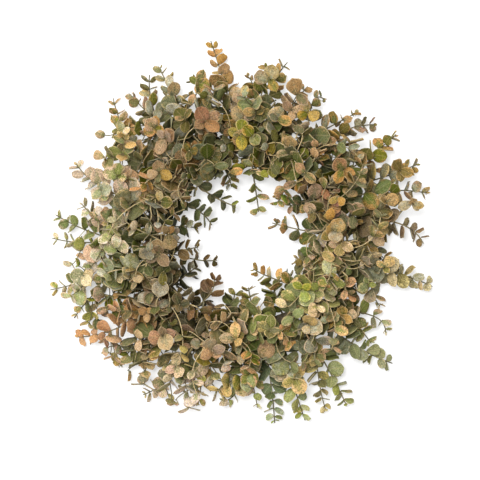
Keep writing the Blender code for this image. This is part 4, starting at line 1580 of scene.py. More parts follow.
# Chance in the place of a twig within its length of stem, and in its score
TWIG_PLACE = (0.1, 0.9)
TWIG_LUCK = (0, 2)

# Radii of a side twig as shares of its stem's
TWIG_RADIUS_SHARE = 0.62
TWIG_TIP_SHARE = 0.85

# Pairs of leaves on a side twig: first, length of twig that they take, and sizes along the twig
# and along its stem
TWIG_FIRST_PAIR = 0.16
TWIG_PAIR_SPAN = 0.78
TWIG_TAPER = 0.40
TWIG_ROOT_SIZE = 1.06
TWIG_SIZE_FALL = 0.38
# How much a leaf's place along the stem and along the twig count in how old it looks
STEM_PLACE_SHARE = 0.30
TWIG_PLACE_SHARE = 0.70

# A twig's turn about its own line, in radians
SPIN = (0, 3.1)


def twig_curve_to(start, along, spoke, reach, draw):
    """Control points of a side twig that leaves its stem sideways and bends a little."""
    way = unit(along * draw.uniform(*TWIG_LEAN) + spoke)
    tip = start + way * reach
    stray = Vector((draw.uniform(-1, 1), draw.uniform(-1, 1), draw.uniform(-1, 1)))
    tip += stray * reach * TWIG_STRAY
    tip.z = max(TWIG_FLOOR, min(tip.z, TWIG_CEILING))
    heading = unit(way * TWIG_HEADING[0] + along * TWIG_HEADING[1])
    return [start, start + unit(along + spoke) * reach * TWIG_BEND[0],
            tip - heading * reach * TWIG_BEND[1], tip]


def corridor(curve):
    """Points along a twig and to both sides of it, where its leaves would be."""
    points = []
    steps = CORRIDOR_POINTS + 1
    for index in range(1, steps):
        here, after = bezier(curve, index / steps), bezier(curve, (index + 0.5) / steps)
        across = unit((after - here).cross(Vector((0, 0, 1)))) * TWIG_LEAF_REACH
        points += [here - across, here, here + across]
    return points


def best_twig(plan, place, pale, rule):
    """Score and twig for the clear one, of those drawn at a place, that covers most bare ground."""
    draw, sizes = plan.draw, plan.sizes
    radii = (sizes.stem_radius * TWIG_RADIUS_SHARE, sizes.tip_radius * TWIG_TIP_SHARE)
    best = None
    for _ in range(TWIG_TRIES):
        spoke = spoke_at(place, draw.uniform(0, math.tau))
        rise = spoke.z * TWIG_RISE + draw.uniform(*rule.climb)
        spoke = unit(Vector((spoke.x, spoke.y, rise)))
        reach = sizes.twig_length * rule.length * draw.uniform(*TWIG_REACH)
        curve = twig_curve_to(place.point, place.along, spoke, reach, draw)
        if min(p.z for p in curve) < TWIG_LOWEST:
            continue
        score = plan.cover.bare(corridor(curve), rule.start, rule.cut) + draw.uniform(*TWIG_LUCK)
        if best is not None and score <= best[0]:
            continue
        twig = sprig_along(curve, 1.0, draw.uniform(*SPIN), radii, pale, TWIG_PATTERN)
        if is_free(plan.bed, twig, 1):
            best = (score, twig)
    return best


def grow_twigs(plan, group, sprig, rule):
    """Side twigs where a stem runs by bare places, with their pairs of leaves."""
    draw, sizes = plan.draw, plan.sizes
    span = sprig_length(sprig) * (rule.last - rule.first)
    count = max(FEWEST_TWIGS, round(span / (sizes.twig_spacing * rule.spacing)))
    for index in range(count):
        share = rule.first + (rule.last - rule.first) * (index + draw.uniform(*TWIG_PLACE)) / count
        best = best_twig(plan, sprig_place(sprig, share), sprig.pale, rule)
        if best is None or best[0] < rule.least:
            continue
        twig = best[1]
        group["sprigs"].append(twig)
        palette = draw_palette(group["tint"], twig.points[-1])
        add_sprig(plan.bed, twig)
        size = TWIG_ROOT_SIZE - TWIG_SIZE_FALL * share
        pairs = max(2, round(sprig_length(twig) / sizes.pair_spacing))
        for pair in range(pairs):
            part = TWIG_FIRST_PAIR + TWIG_PAIR_SPAN * pair / (pairs - 1)
            length = rule.leaf * (1 - TWIG_TAPER * part) * size
            grow_pair(plan, group, palette, sprig_place(twig, part), math.pi / 2 * (pair % 2),
                      length, STEM_PLACE_SHARE * share + TWIG_PLACE_SHARE * part)


# Places on the stems, at these heights, from which leaves fill the bare ground in this band, over
# gaps of these lengths
FILL_SHARES = (0.08, 0.18, 0.28, 0.38, 0.48, 0.58, 0.68, 0.78, 0.88)
FILL_HEIGHT = (8 * MM, 60 * MM)
FILL_BAND = (112 * MM, 204 * MM)
FILL_GAP = (7 * MM, 21 * MM)
FILL_TRIES = 14
# Such a leaf drops by a share of its stem's height, tilts, and is this much longer than its gap
FILL_DROP = (0.1, 0.5)
FILL_TILT = 0.5
FILL_LENGTH = (1.4, 1.7)
# It takes the form of a leaf half as far along its stem and half as long again as its gap
FILL_FORM_SHARE = 0.5
FILL_FORM_LENGTH = 1.5


def fill_gaps(plan):
    """Low leaves from the nearest stems over the places in the band that are still bare."""
    starts = []
    for group in plan.groups:
        last = len(group["palettes"]) - 1
        for index, sprig in enumerate(group["sprigs"]):
            # Side twigs come after the stems, and their leaves take the last stem's colours
            palette = group["palettes"][min(index, last)]
            for share in FILL_SHARES:
                place = sprig_place(sprig, share)
                if FILL_HEIGHT[0] < place.point.z < FILL_HEIGHT[1]:
                    starts.append((place, share, group, palette))
    step = plan.cover.step
    reach = int(FILL_BAND[1] / step)
    for x in range(-reach, reach + 1):
        for y in range(-reach, reach + 1):
            spot = Vector((x * step, y * step))
            if (x, y) in plan.cover.cells or not FILL_BAND[0] < spot.length < FILL_BAND[1]:
                continue
            near = []
            for start in starts:
                gap = (start[0].point.xy - spot).length
                if FILL_GAP[0] < gap < FILL_GAP[1]:
                    near.append((gap, start))
            near.sort(key=lambda item: item[0])
            for gap, (place, share, group, palette) in near[:FILL_TRIES]:
                if fill_leaf(plan, group, palette, place, spot, gap, share):
                    break


def fill_leaf(plan, group, palette, place, spot, gap, share):
    """A leaf from a stem over a bare spot, if it has room."""
    draw = plan.draw
    point = place.point
    drop = -point.z * draw.uniform(*FILL_DROP)
    along = unit(Vector((spot.x - point.x, spot.y - point.y, drop)))
    up = unit(Vector((0, 0, 1)) - along * along.z)
    tilt = draw.uniform(-FILL_TILT, FILL_TILT)
    normal = up * math.cos(tilt) + along.cross(up) * math.sin(tilt)
    form = form_of(share * FILL_FORM_SHARE, gap * FILL_FORM_LENGTH, False, draw)
    leaf = leaf_on(place, along, normal, gap * draw.uniform(*FILL_LENGTH), form)
    if not has_room(plan, leaf, form, True):
        return False
    add_leaf(plan, group, palette, leaf, form, share)
    return True


SHOOT_TRIES = 16


def grow_shoot(plan, group, curve, radii, pale, leaves, palette=None):
    """One extra twig if it has room, with (share, length, azimuth, facing) for each of its leaves."""
    twig = sprig_along(curve, 1.0, plan.draw.uniform(*SPIN), radii, pale, TWIG_PATTERN)
    if min(p.xy.length for p in twig.points) < INNER_CLEAR or not is_free(plan.bed, twig, 2):
        return False
    group["sprigs"].append(twig)
    add_sprig(plan.bed, twig)
    if palette is None:
        accent = PAINT.choice(ACCENTS) if PAINT.random() < ACCENT_CHANCE else None
        palette = draw_palette(group["tint"], twig.points[-1], accent)
    for share, length, azimuth, facing in leaves:
        grow_leaf(plan, group, palette, sprig_place(twig, share), azimuth, length, share, facing)
    return True


# Leaves of an open cluster: place on the twig, size, how far they face up, and spacing round it
OPEN_PLACE = (0.80, 0.99)
OPEN_SIZE = (0.72, 1.15)
OPEN_FACING = (0.35, 0.95)
OPEN_SPACING = (0.7, 1.3)


def open_cluster(size, count, draw):
    """A few open leaves of unlike size round the end of a twig."""
    turn = draw.uniform(0, math.tau)
    leaves = []
    for _ in range(count):
        leaves.append((draw.uniform(*OPEN_PLACE), size * draw.uniform(*OPEN_SIZE), turn,
                       draw.uniform(*OPEN_FACING)))
        turn += math.tau / count * draw.uniform(*OPEN_SPACING)
    return leaves


# Wisps on each front stem, where they grow, and their radii as shares of the stem's
WISPS = 2
WISP_FIRST = 0.10
WISP_SPAN = 0.8
WISP_ROOT_SHARE = 0.5
WISP_TIP_SHARE = 0.7
# The second one on every second spray is a long one
WISP_LENGTH = (34 * MM, 60 * MM)
LONG_WISP = (70 * MM, 96 * MM)
# How far a wisp turns from its stem, bows to a side, rises to its crest and drops to its tip
WISP_TURN = (0.3, 1.1)
WISP_BOW = (0.12, 0.4)
WISP_CREST = 97 * MM
WISP_RISE = (12 * MM, 26 * MM)
WISP_DROP = (2 * MM, 14 * MM)
# Shares of its way, of the rise at its start and of the bow that its tip goes back
WISP_WAY = (0.3, 0.7)
WISP_RISE_SHARE = 0.9
WISP_RETURN = 0.4
# Its pairs of leaves, their length and how much smaller they are at its tip
WISP_PAIRS = (0.62, 0.80, 0.97)
WISP_LEAF = 27 * MM
WISP_TAPER = 0.4


def grow_wisps(plan, group, sprig):
    """Short wiry twigs with few leaves that arch over the front, to either side of the stem."""
    draw, sizes = plan.draw, plan.sizes
    radii = (sizes.stem_radius * WISP_ROOT_SHARE, sizes.tip_radius * WISP_TIP_SHARE)
    leaves = [(part, WISP_LEAF * (1 - WISP_TAPER * part), math.pi / 2 * index + half_turn, None)
              for index, part in enumerate(WISP_PAIRS) for half_turn in (0, math.pi)]
    for number in range(WISPS):
        share = WISP_FIRST + WISP_SPAN * (number + draw.uniform(0, 1)) / WISPS
        place = sprig_place(sprig, share)
        start = place.point
        for _ in range(SHOOT_TRIES):
            swerve = polar(draw.uniform(*WISP_TURN), draw.uniform(0, 360))
            way = unit(Vector((place.along.x, place.along.y, 0)) + swerve)
            bow = Vector((-way.y, way.x, 0)) * draw.choice((-1, 1)) * draw.uniform(*WISP_BOW)
            long = number == 1 and group["number"] % 2
            reach = draw.uniform(*(LONG_WISP if long else WISP_LENGTH))
            crest = min(WISP_CREST, start.z + draw.uniform(*WISP_RISE))
            tip = start + (way - bow * WISP_RETURN) * reach
            tip.z = crest - draw.uniform(*WISP_DROP)
            lift = Vector((0, 0, crest - start.z))
            curve = [start, start + (way * WISP_WAY[0] + bow) * reach + lift * WISP_RISE_SHARE,
                     start + (way * WISP_WAY[1] + bow) * reach + lift, tip]
            if grow_shoot(plan, group, curve, radii, sprig.pale, leaves):
                break


# Radii of an upright twig as shares of its stem's, and how far it follows the stem first
UPRIGHT_ROOT_SHARE = 0.6
UPRIGHT_TIP_SHARE = 0.85
UPRIGHT_START_MM = 6

# Rosettes on a stem of each layer, where they grow, and their rise, drift, upright share of the
# rise and leaves
ROSETTES = {"outer": 1, "inner": 0, "front": 1}
ROSETTE_FIRST = 0.15
ROSETTE_SPAN = 0.6
ROSETTE_RISE = (14 * MM, 34 * MM)
ROSETTE_DRIFT_MM = (2, 16)
ROSETTE_UPRIGHT = 0.5
# Shares of the drift at its start, and still to come before its tip
DRIFT_SHARES = (0.4, 0.1)
ROSETTE_LEAF = (18 * MM, 26 * MM)
ROSETTE_COUNTS = (3, 4, 4)


def upright_radii(sizes):
    """Radii of a twig that ends upright, at its root and at its tip."""
    return sizes.stem_radius * UPRIGHT_ROOT_SHARE, sizes.tip_radius * UPRIGHT_TIP_SHARE


def grow_rosettes(plan, group, sprig):
    """Upright twig tips whose small open leaves make a cross, seen from the front."""
    draw = plan.draw
    count = ROSETTES[group["layer"]]
    for number in range(count):
        share = ROSETTE_FIRST + ROSETTE_SPAN * (number + draw.uniform(0, 1)) / count
        place = sprig_place(sprig, share)
        start = place.point
        for _ in range(SHOOT_TRIES):
            top = min(TWIG_CEILING, start.z + draw.uniform(*ROSETTE_RISE))
            if top - start.z < ROSETTE_RISE[0]:
                break
            drift = polar(draw.uniform(*ROSETTE_DRIFT_MM) * MM, draw.uniform(0, 360))
            tip = Vector((start.x, start.y, top)) + drift
            rise = Vector((0, 0, (top - start.z) * ROSETTE_UPRIGHT))
            curve = [start, start + place.along * UPRIGHT_START_MM * MM + drift * DRIFT_SHARES[0],
                     tip - rise - drift * DRIFT_SHARES[1], tip]
            leaves = open_cluster(draw.uniform(*ROSETTE_LEAF), draw.choice(ROSETTE_COUNTS), draw)
            if grow_shoot(plan, group, curve, upright_radii(plan.sizes), sprig.pale, leaves):
                break


class Cluster(NamedTuple):
    """A cluster of open leaves that stands out on the front of the wreath.

    It has its place from the middle in millimetres, the number and length of its leaves, and
    their green, turned colour, how far they have turned, and bloom.
    """
    x: float
    y: float
    leaves: int
    leaf: float
    green: tuple
    turned: tuple
    turn: float
    bloom: float


CLUSTERS = (
    Cluster(-54, 178, 4, 25, (0.21, 0.120, 0.040), (0.42, 0.200, 0.078), 0.30, 0.00),
    Cluster(-120, 151, 4, 26, (0.22, 0.175, 0.085), (0.40, 0.250, 0.150), 0.20, 0.10),
    Cluster(-129, 101, 4, 25, (0.18, 0.170, 0.060), (0.42, 0.265, 0.120), 0.10, 0.05),
    Cluster(-112, 7, 3, 26, (0.18, 0.165, 0.050), (0.40, 0.255, 0.100), 0.15, 0.00),
    Cluster(-118, -48, 3, 21, (0.18, 0.200, 0.042), (0.34, 0.310, 0.070), -0.25, 0.00),
    Cluster(96, 28, 2, 34, (0.22, 0.255, 0.145), (0.34, 0.330, 0.195), -0.40, 0.36),
    Cluster(146, 64, 4, 24, (0.19, 0.165, 0.042), (0.42, 0.300, 0.100), 0.10, 0.00),
    Cluster(139, 12, 4, 26, (0.23, 0.205, 0.070), (0.42, 0.270, 0.105), 0.00, 0.05),
    Cluster(139, -57, 2, 33, (0.15, 0.155, 0.066), (0.33, 0.310, 0.100), -0.05, 0.10),
    Cluster(92, -78, 3, 24, (0.18, 0.200, 0.046), (0.36, 0.320, 0.085), -0.25, 0.00),
    Cluster(256, 50, 4, 22, (0.15, 0.120, 0.024), (0.32, 0.210, 0.045), 0.15, 0.00),
    Cluster(43, 240, 3, 28, (0.15, 0.145, 0.028), (0.32, 0.220, 0.052), 0.00, 0.00),
    Cluster(83, 217, 2, 30, (0.12, 0.112, 0.030), (0.30, 0.180, 0.068), 0.05, 0.00),
    Cluster(-45, -170, 4, 25, (0.20, 0.155, 0.080), (0.38, 0.265, 0.170), 0.20, 0.10),
    Cluster(-122, -148, 4, 25, (0.18, 0.145, 0.080), (0.37, 0.245, 0.160), 0.15, 0.15),
    Cluster(98, -130, 3, 25, (0.20, 0.200, 0.075), (0.42, 0.290, 0.130), 0.10, 0.10),
    Cluster(-95, -100, 3, 26, (0.13, 0.138, 0.060), (0.31, 0.240, 0.125), -0.15, 0.05),
    Cluster(-20, 100, 3, 25, (0.16, 0.145, 0.034), (0.40, 0.225, 0.070), 0.10, 0.00),
)
CLUSTER_HEIGHT = (84 * MM, 90 * MM)
# Its twig starts on a stem at one of these places, well below it and about this far to its side
CLUSTER_SHARES = (0.12, 0.22, 0.34, 0.46, 0.58, 0.70, 0.82)
CLUSTER_RISE = 8 * MM
CLUSTER_SIDE = 16 * MM
# The best starts are tried in turn, each a few times, with the tip and the lean drawn anew
CLUSTER_TRIES = 40
TRIES_AT_START = 4
CLUSTER_SWING_MM = (0, 6)
CLUSTER_LEAN_MM = (4, 12)
# Shares of the swing at the tip, and of the rise over which the twig leans
TIP_SWING = 0.5
LEAN_SHARE = 0.6


def grow_cluster(plan, cluster):
    """A twig from the nearest stem that ends upright under a cluster of open leaves."""
    draw = plan.draw
    target = Vector((cluster.x * MM, cluster.y * MM, draw.uniform(*CLUSTER_HEIGHT)))
    starts = []
    for group in plan.groups:
        if group["layer"] != "inner":
            for sprig in main_sprigs(group):
                for share in CLUSTER_SHARES:
                    place = sprig_place(sprig, share)
                    gap = (place.point.xy - target.xy).length
                    if place.point.z < target.z - CLUSTER_RISE:
                        starts.append((abs(gap - CLUSTER_SIDE), group, sprig, place))
    starts.sort(key=lambda start: start[0])
    palette = Palette(cluster.green, cluster.turned, cluster.turn, cluster.bloom)
    for attempt in range(CLUSTER_TRIES):
        _, group, sprig, place = starts[attempt // TRIES_AT_START]
        swing = polar(draw.uniform(*CLUSTER_SWING_MM) * MM, draw.uniform(0, 360))
        tip = target + swing * TIP_SWING
        lean = polar(draw.uniform(*CLUSTER_LEAN_MM) * MM, draw.uniform(0, 360))
        lean.z = (place.point.z - tip.z) * LEAN_SHARE
        curve = [place.point, place.point + place.along * UPRIGHT_START_MM * MM + swing, tip + lean, tip]
        leaves = open_cluster(cluster.leaf * MM, cluster.leaves, draw)
        if grow_shoot(plan, group, curve, upright_radii(plan.sizes), sprig.pale, leaves, palette):
            return


# How pale the stems of a layer are, and how much paler those of the pale tints; the dark stems under
# the wreath are partly their own green and partly painted shade
STEM_PALENESS = {"front": 0.85, "inner": 0.12, "outer": 0.14}
PALE_TINTS = ("leaf_peach", "leaf_cream", "leaf_rust")
PALE_TINT_LIFT = 0.12
PALENESS_SPREAD = (0.6, 1.2)


def stem_paleness(group, draw):
    """How pale a stem is: tan on the front of the wreath, dark under it, partly as painted shade."""
    pale = STEM_PALENESS[group["layer"]]
    if group["tint"] in PALE_TINTS:
        pale += PALE_TINT_LIFT
    return min(1.0, pale * draw.uniform(*PALENESS_SPREAD))


def main_sprigs(group):
    """The stems of a spray without its side twigs."""
    return group["sprigs"][:len(group["stems"])]


# Radius of a forked stem as a share of a main one's
FORK_RADIUS_SHARE = 0.78


def draw_stems(plan, group):
    """The stems of a spray on the lines of its solid, each with the colours of its leaves."""
    group["sprigs"] = []
    group["palettes"] = []
    for stem in group["stems"]:
        share = FORK_RADIUS_SHARE if stem.radii[0] < STEM_ROOT_RADIUS else 1.0
        radii = (plan.sizes.stem_radius * share, plan.sizes.tip_radius)
        pale = stem_paleness(group, plan.draw)
        sprig = sprig_along(stem.curve, STEM_END, stem.spin, radii, pale, STEM_PATTERN)
        group["sprigs"].append(sprig)
        group["palettes"].append(draw_palette(group["tint"], sprig.points[-1]))
        add_sprig(plan.bed, sprig)


# Leaves round the hole are smaller by the first share near the ring and gain the second to the tip
HOLE_LEAF_SHARE = 0.85
HOLE_TIP_SHARE = 0.36


def leaf_size(plan, group, length, share):
    """Length of a drawn leaf at a share of its stem, from that of a solid leaf."""
    length *= plan.sizes.leaf_share
    return length * (HOLE_LEAF_SHARE + HOLE_TIP_SHARE * share if group["layer"] == "inner" else 1.0)


# Share of the leaves that are rolled far over at the root of a stem, how much more of them are at
# its tip, and how far in radians those and the others are rolled
ROLLED_SHARE = (0.32, 0.50)
BIG_ROLL = (0.7, 1.3)
SMALL_ROLL = 0.28


def dress_leaves(plan, group):
    """The leaves of a spray's solid as thin blades, many of them rolled over."""
    draw = plan.draw
    group["blades"] = []
    for (number, share), leaf in zip(group["places"], group["leaves"]):
        place = sprig_place(group["sprigs"][number], share / STEM_END)
        length = leaf_size(plan, group, leaf.length, share)
        form = form_of(share, length, group["layer"] == "inner", draw)
        if draw.random() < ROLLED_SHARE[0] + ROLLED_SHARE[1] * share:
            roll = draw.uniform(*BIG_ROLL) * draw.choice((-1, 1))
        else:
            roll = draw.gauss(0, SMALL_ROLL)
        blade = rolled(leaf_on(place, leaf.along, leaf.normal, length, form), roll)
        add_leaf(plan, group, group["palettes"][number], above_floor(blade, form), form, share)


# Small pair that closes some of the stems
TIP_PAIR_CHANCE = 0.6
TIP_PAIR_PLACE = 0.975
TIP_LEAF = 8 * MM


def fill_stems(plan, group):
    """Pairs of leaves between those of the solid, and a small pair at some of the tips."""
    draw = plan.draw
    for stem, sprig, palette in zip(group["stems"], group["sprigs"], group["palettes"]):
        between = [(a + b) / 2 for a, b in zip(stem.pairs, stem.pairs[1:])]
        for number, share in enumerate(between, 1):
            length = stem.leaf_length * (1 - LEAF_TAPER * share ** LEAF_TAPER_POWER)
            grow_pair(plan, group, palette, sprig_place(sprig, share / STEM_END),
                      math.radians(90 * (number % 2)), leaf_size(plan, group, length, share), share)
        if draw.random() < TIP_PAIR_CHANCE:
            place = sprig_place(sprig, TIP_PAIR_PLACE)
            grow_pair(plan, group, palette, place, draw.uniform(*SPIN), TIP_LEAF, 1.0)


def lay_ring(bed):
    """Add the vine ring and its ties to the bed."""
    for shell in (ring_shell(), *(tie_shell(degrees) for degrees in TIE_ANGLES)):
        bed.add(tree_of(shell), shell[0])


def plan_foliage():
    """All sprays with their stems, side twigs and leaves as they are drawn, planned once."""
    if PLAN:
        return PLAN
    plan = Foliage(plan_wreath())
    lay_ring(plan.bed)
    for number, group in enumerate(plan.groups):
        group["number"] = number
        draw_stems(plan, group)
    for group in plan.groups:
        dress_leaves(plan, group)
    for group in plan.groups:
        fill_stems(plan, group)
    for cluster in CLUSTERS:
        grow_cluster(plan, cluster)
    for rule in TWIG_RULES:
        for group in plan.groups:
            if group["layer"] == rule.layer:
                for sprig in main_sprigs(group):
                    grow_twigs(plan, group, sprig, rule)
    fill_gaps(plan)
    for group in plan.groups:
        for sprig in main_sprigs(group):
            grow_rosettes(plan, group, sprig)
            if group["layer"] == "front":
                grow_wisps(plan, group, sprig)
    PLAN.extend(plan.groups)
    return PLAN


def stem_places(sprig, pattern):
    """Places of the stem pattern's vertices, wrapped round a drawn stem."""
    made = np.zeros_like(pattern["places"])
    for index, (x, y, share) in enumerate(pattern["places"]):
        place = sprig_place(sprig, clamp(share))
        across = place.side * x + place.along.cross(place.side) * y
        made[index] = place.point + across * place.radius
    return made


def blade_places(blade, pattern):
    """Places of a blade pattern's vertices, laid on a leaf."""
    leaf = blade.leaf
    side = leaf.along.cross(leaf.normal)
    rows = np.array([side * leaf.length, leaf.along * leaf.length, leaf.normal * leaf.length])
    return pattern["places"] @ rows + np.array(leaf.root)


def spray_mesh(name, group, shift):
    """Mesh of one spray: copies of the stem patterns along its lines and of the blade patterns."""
    shared = colour_settings()
    places, faces, flats = [], [], []
    cores, edges, marks, turns, uvs = [], [], [], [], []
    offset = 0
    for item in group["sprigs"] + group["blades"]:
        if isinstance(item, Sprig):
            pattern = all_patterns()[item.pattern]
            made = stem_places(item, pattern)
            core = edge = mix(shared.stem_green_and_shade, shared.stem_tan, item.pale)
            turn, stem, bloom, rim = 0.0, 1.0, 0.0, 0.0
            across = np.full(len(made), 0.5)
            up = pattern["places"][:, 2]
        else:
            pattern = all_patterns()[item.form]
            made = blade_places(item, pattern)
            core, edge, turn, stem = item.core, item.edge, item.turn, 0.0
            bloom, rim = item.bloom, item.rim
            across = pattern["places"][:, 0] / form_width(item.form) + 0.5
            up = pattern["places"][:, 1]
        count = len(made)
        places.append(made)
        faces.extend(tuple(index + offset for index in face) for face in pattern["faces"])
        flats.extend(pattern["flat"])
        cores.append(np.tile((*core, bloom), (count, 1)))
        edges.append(np.tile((*edge, rim), (count, 1)))
        under = (pattern["normals"][:, 2] < 0) * (1.0 - stem)
        marks.append(np.stack([pattern["rim"], under, np.full(count, stem)], axis=1))
        turns.append(np.full(count, turn))
        uvs.append(np.stack([across, up], axis=1))
        offset += count
    mesh = bpy.data.meshes.new(name)
    mesh.from_pydata((np.concatenate(places) + np.array(shift)).tolist(), [], faces)
    for label, kind, values in (("leaf_core", "FLOAT_COLOR", cores),
                                ("leaf_edge", "FLOAT_COLOR", edges),
                                ("leaf_marks", "FLOAT_VECTOR", marks),
                                ("leaf_turn", "FLOAT", turns)):
        layer = mesh.attributes.new(label, kind, "POINT")
        field = {"FLOAT_COLOR": "color", "FLOAT_VECTOR": "vector", "FLOAT": "value"}[kind]
        layer.data.foreach_set(field, np.concatenate(values).ravel())
    corners = np.zeros(len(mesh.loops), dtype=np.int32)
    mesh.loops.foreach_get("vertex_index", corners)
    layer = mesh.uv_layers.new(name="UVMap")
    layer.data.foreach_set("uv", np.concatenate(uvs)[corners].ravel())
    mesh.polygons.foreach_set("use_smooth", np.logical_not(flats))
    mesh.update()
    return mesh


def shader_tree(name):
    """New node material, with its tree and its Principled shader."""
    made = bpy.data.materials.new(name)
    made.use_nodes = True
    return made, made.node_tree, made.node_tree.nodes["Principled BSDF"]


def attribute_node(tree, name):
    """Node that reads a named attribute of the mesh."""
    node = tree.nodes.new("ShaderNodeAttribute")
    node.attribute_name = name
    return node


def math_node(tree, operation, first, second=None):
    """Math node with links or plain values as its inputs."""
    node = tree.nodes.new("ShaderNodeMath")
    node.operation = operation
    for socket, value in zip(node.inputs, (first, second)):
        if value is None:
            continue
        if isinstance(value, (int, float)):
            socket.default_value = value
        else:
            tree.links.new(value, socket)
    return node.outputs[0]


def times(tree, first, second):
    """Product of two values."""
    return math_node(tree, "MULTIPLY", first, second)


def plus(tree, first, second):
    """Sum of two values."""
    return math_node(tree, "ADD", first, second)


def centred(tree, value, amount):
    """Noise that runs from nought to one, made to vary by an amount about nought."""
    return times(tree, math_node(tree, "SUBTRACT", value, 0.5), amount)


def ramp_node(tree, value, low, high, out_low=0.0, out_high=1.0):
    """Smooth step of a value from one range to another."""
    node = tree.nodes.new("ShaderNodeMapRange")
    node.interpolation_type = "SMOOTHSTEP"
    tree.links.new(value, node.inputs["Value"])
    node.inputs["From Min"].default_value = low
    node.inputs["From Max"].default_value = high
    node.inputs["To Min"].default_value = out_low
    node.inputs["To Max"].default_value = out_high
    return node.outputs["Result"]


def mix_node(tree, factor, first, second):
    """Colour mix node with links or plain colours as its inputs."""
    node = tree.nodes.new("ShaderNodeMix")
    node.data_type = "RGBA"
    for socket, value in ((node.inputs[0], factor), (node.inputs[6], first),
                          (node.inputs[7], second)):
        if isinstance(value, float):
            socket.default_value = value
        elif isinstance(value, tuple):
            socket.default_value = (*value, 1.0)
        else:
            tree.links.new(value, socket)
    return node.outputs[2]


def object_places(tree):
    """Coordinates of the piece itself."""
    return tree.nodes.new("ShaderNodeTexCoord").outputs["Object"]


def noise_node(tree, vector, scale, detail, roughness):
    """Noise on the given coordinates."""
    node = tree.nodes.new("ShaderNodeTexNoise")
    node.inputs["Scale"].default_value = scale
    node.inputs["Detail"].default_value = detail
    node.inputs["Roughness"].default_value = roughness
    tree.links.new(vector, node.inputs["Vector"])
    return node.outputs["Fac"]


def add_bump(tree, shader, height, strength, distance):
    """Bump the shader's surface by a height."""
    bump = tree.nodes.new("ShaderNodeBump")
    bump.inputs["Strength"].default_value = strength
    bump.inputs["Distance"].default_value = distance
    tree.links.new(height, bump.inputs["Height"])
    tree.links.new(bump.outputs["Normal"], shader.inputs["Normal"])


# Noise on the leaves: scale, detail and roughness
BLOTCHES = (110.0, 4.0, 0.65)
FLECKS = (520.0, 3.0, 0.75)
GRAIN = (1500.0, 2.0, 0.6)

# A ramp holds two values and what they become, which is 0 and 1 where it isn't said
# How far a leaf turns at its margin and its tip, how ragged that is, and where it shows
TURN_OUTWARD = 1.15
TURN_UPWARD = 0.55
TURN_RAGGED = 1.5
TURN_RAMP = (0.26, 0.98)
# Bloom lies on the blotches, flecks and grain change the tone, and painted shade makes the base of a
# leaf darker where it meets its stem
BLOOM_RAMP = (0.30, 0.62, 1.25, 0.35)
FLECK_RAMP = (0.36, 0.64, 0.60, 1.31)
GRAIN_RAMP = (0.35, 0.65, 0.82, 1.12)
BASE_SHADE_RAMP = (0.0, 0.40, 0.70, 1.0)
# Middle rib and slanting side veins, which fade towards the tip
RIB_RAMP = (0.012, 0.045, 1.0, 0.0)
VEIN_SLANT = -0.9
VEIN_COUNT = 7.0
VEIN_RAMP = (0.04, 0.11, 0.5, 0.0)
VEIN_FADE_RAMP = (0.75, 0.98, 1.0, 0.25)
VEIN_STRENGTH = 0.19
# Pale colour of the veins and the rims, half mixed with the turned one, and the rim's ragged edge;
# the pale rim is partly the leaf's own paler margin and partly painted highlight where its edge
# catches light
PALE_RIM = (0.70, 0.56, 0.34)
RIM_RAGGED = 0.25
RIM_RAMP = (0.74, 0.98)
UNDERSIDE_SHARE = 0.5
# Shine of a leaf, light that scatters in it, and the roughness and height that grain and veins add
LEAF_SPECULAR = 0.15
LEAF_SCATTER = 0.25
LEAF_SCATTER_RADIUS = (1.0, 0.8, 0.3)
LEAF_SCATTER_SCALE = 0.0015
ROUGH_GRAIN = (0.3, 0.7)
ROUGHNESS_SPREAD = (-0.08, 0.12)
GRAIN_HEIGHT = 0.5
VEIN_HEIGHT = 0.8
LEAF_BUMP = (0.35, 0.0004)


def leaf_places(tree):
    """How far a point of a leaf is from the middle rib, and how far up the leaf."""
    uv = tree.nodes.new("ShaderNodeUVMap")
    uv.uv_map = "UVMap"
    split = tree.nodes.new("ShaderNodeSeparateXYZ")
    tree.links.new(uv.outputs["UV"], split.inputs[0])
    across, up, _ = split.outputs
    return math_node(tree, "ABSOLUTE", math_node(tree, "SUBTRACT", across, 0.5)), up


def turned_share(tree, outward, up, turn, blotch, fleck):
    """How far a point of a leaf has turned: more towards margin and tip, with a ragged edge."""
    turned = plus(tree, times(tree, outward, TURN_OUTWARD), times(tree, up, TURN_UPWARD))
    ragged = plus(tree, centred(tree, blotch, TURN_RAGGED), centred(tree, fleck, TURN_RAGGED))
    return ramp_node(tree, plus(tree, plus(tree, turned, ragged), turn), *TURN_RAMP)


def vein_strength(tree, outward, up, blade):
    """How strong the middle rib and the slanting side veins are at a point of a leaf."""
    slant = plus(tree, up, times(tree, outward, VEIN_SLANT))
    stripes = math_node(tree, "PINGPONG", times(tree, slant, VEIN_COUNT), 0.5)
    lines = math_node(tree, "MAXIMUM", ramp_node(tree, outward, *RIB_RAMP),
                      ramp_node(tree, stripes, *VEIN_RAMP))
    return times(tree, times(tree, lines, blade), ramp_node(tree, up, *VEIN_FADE_RAMP))


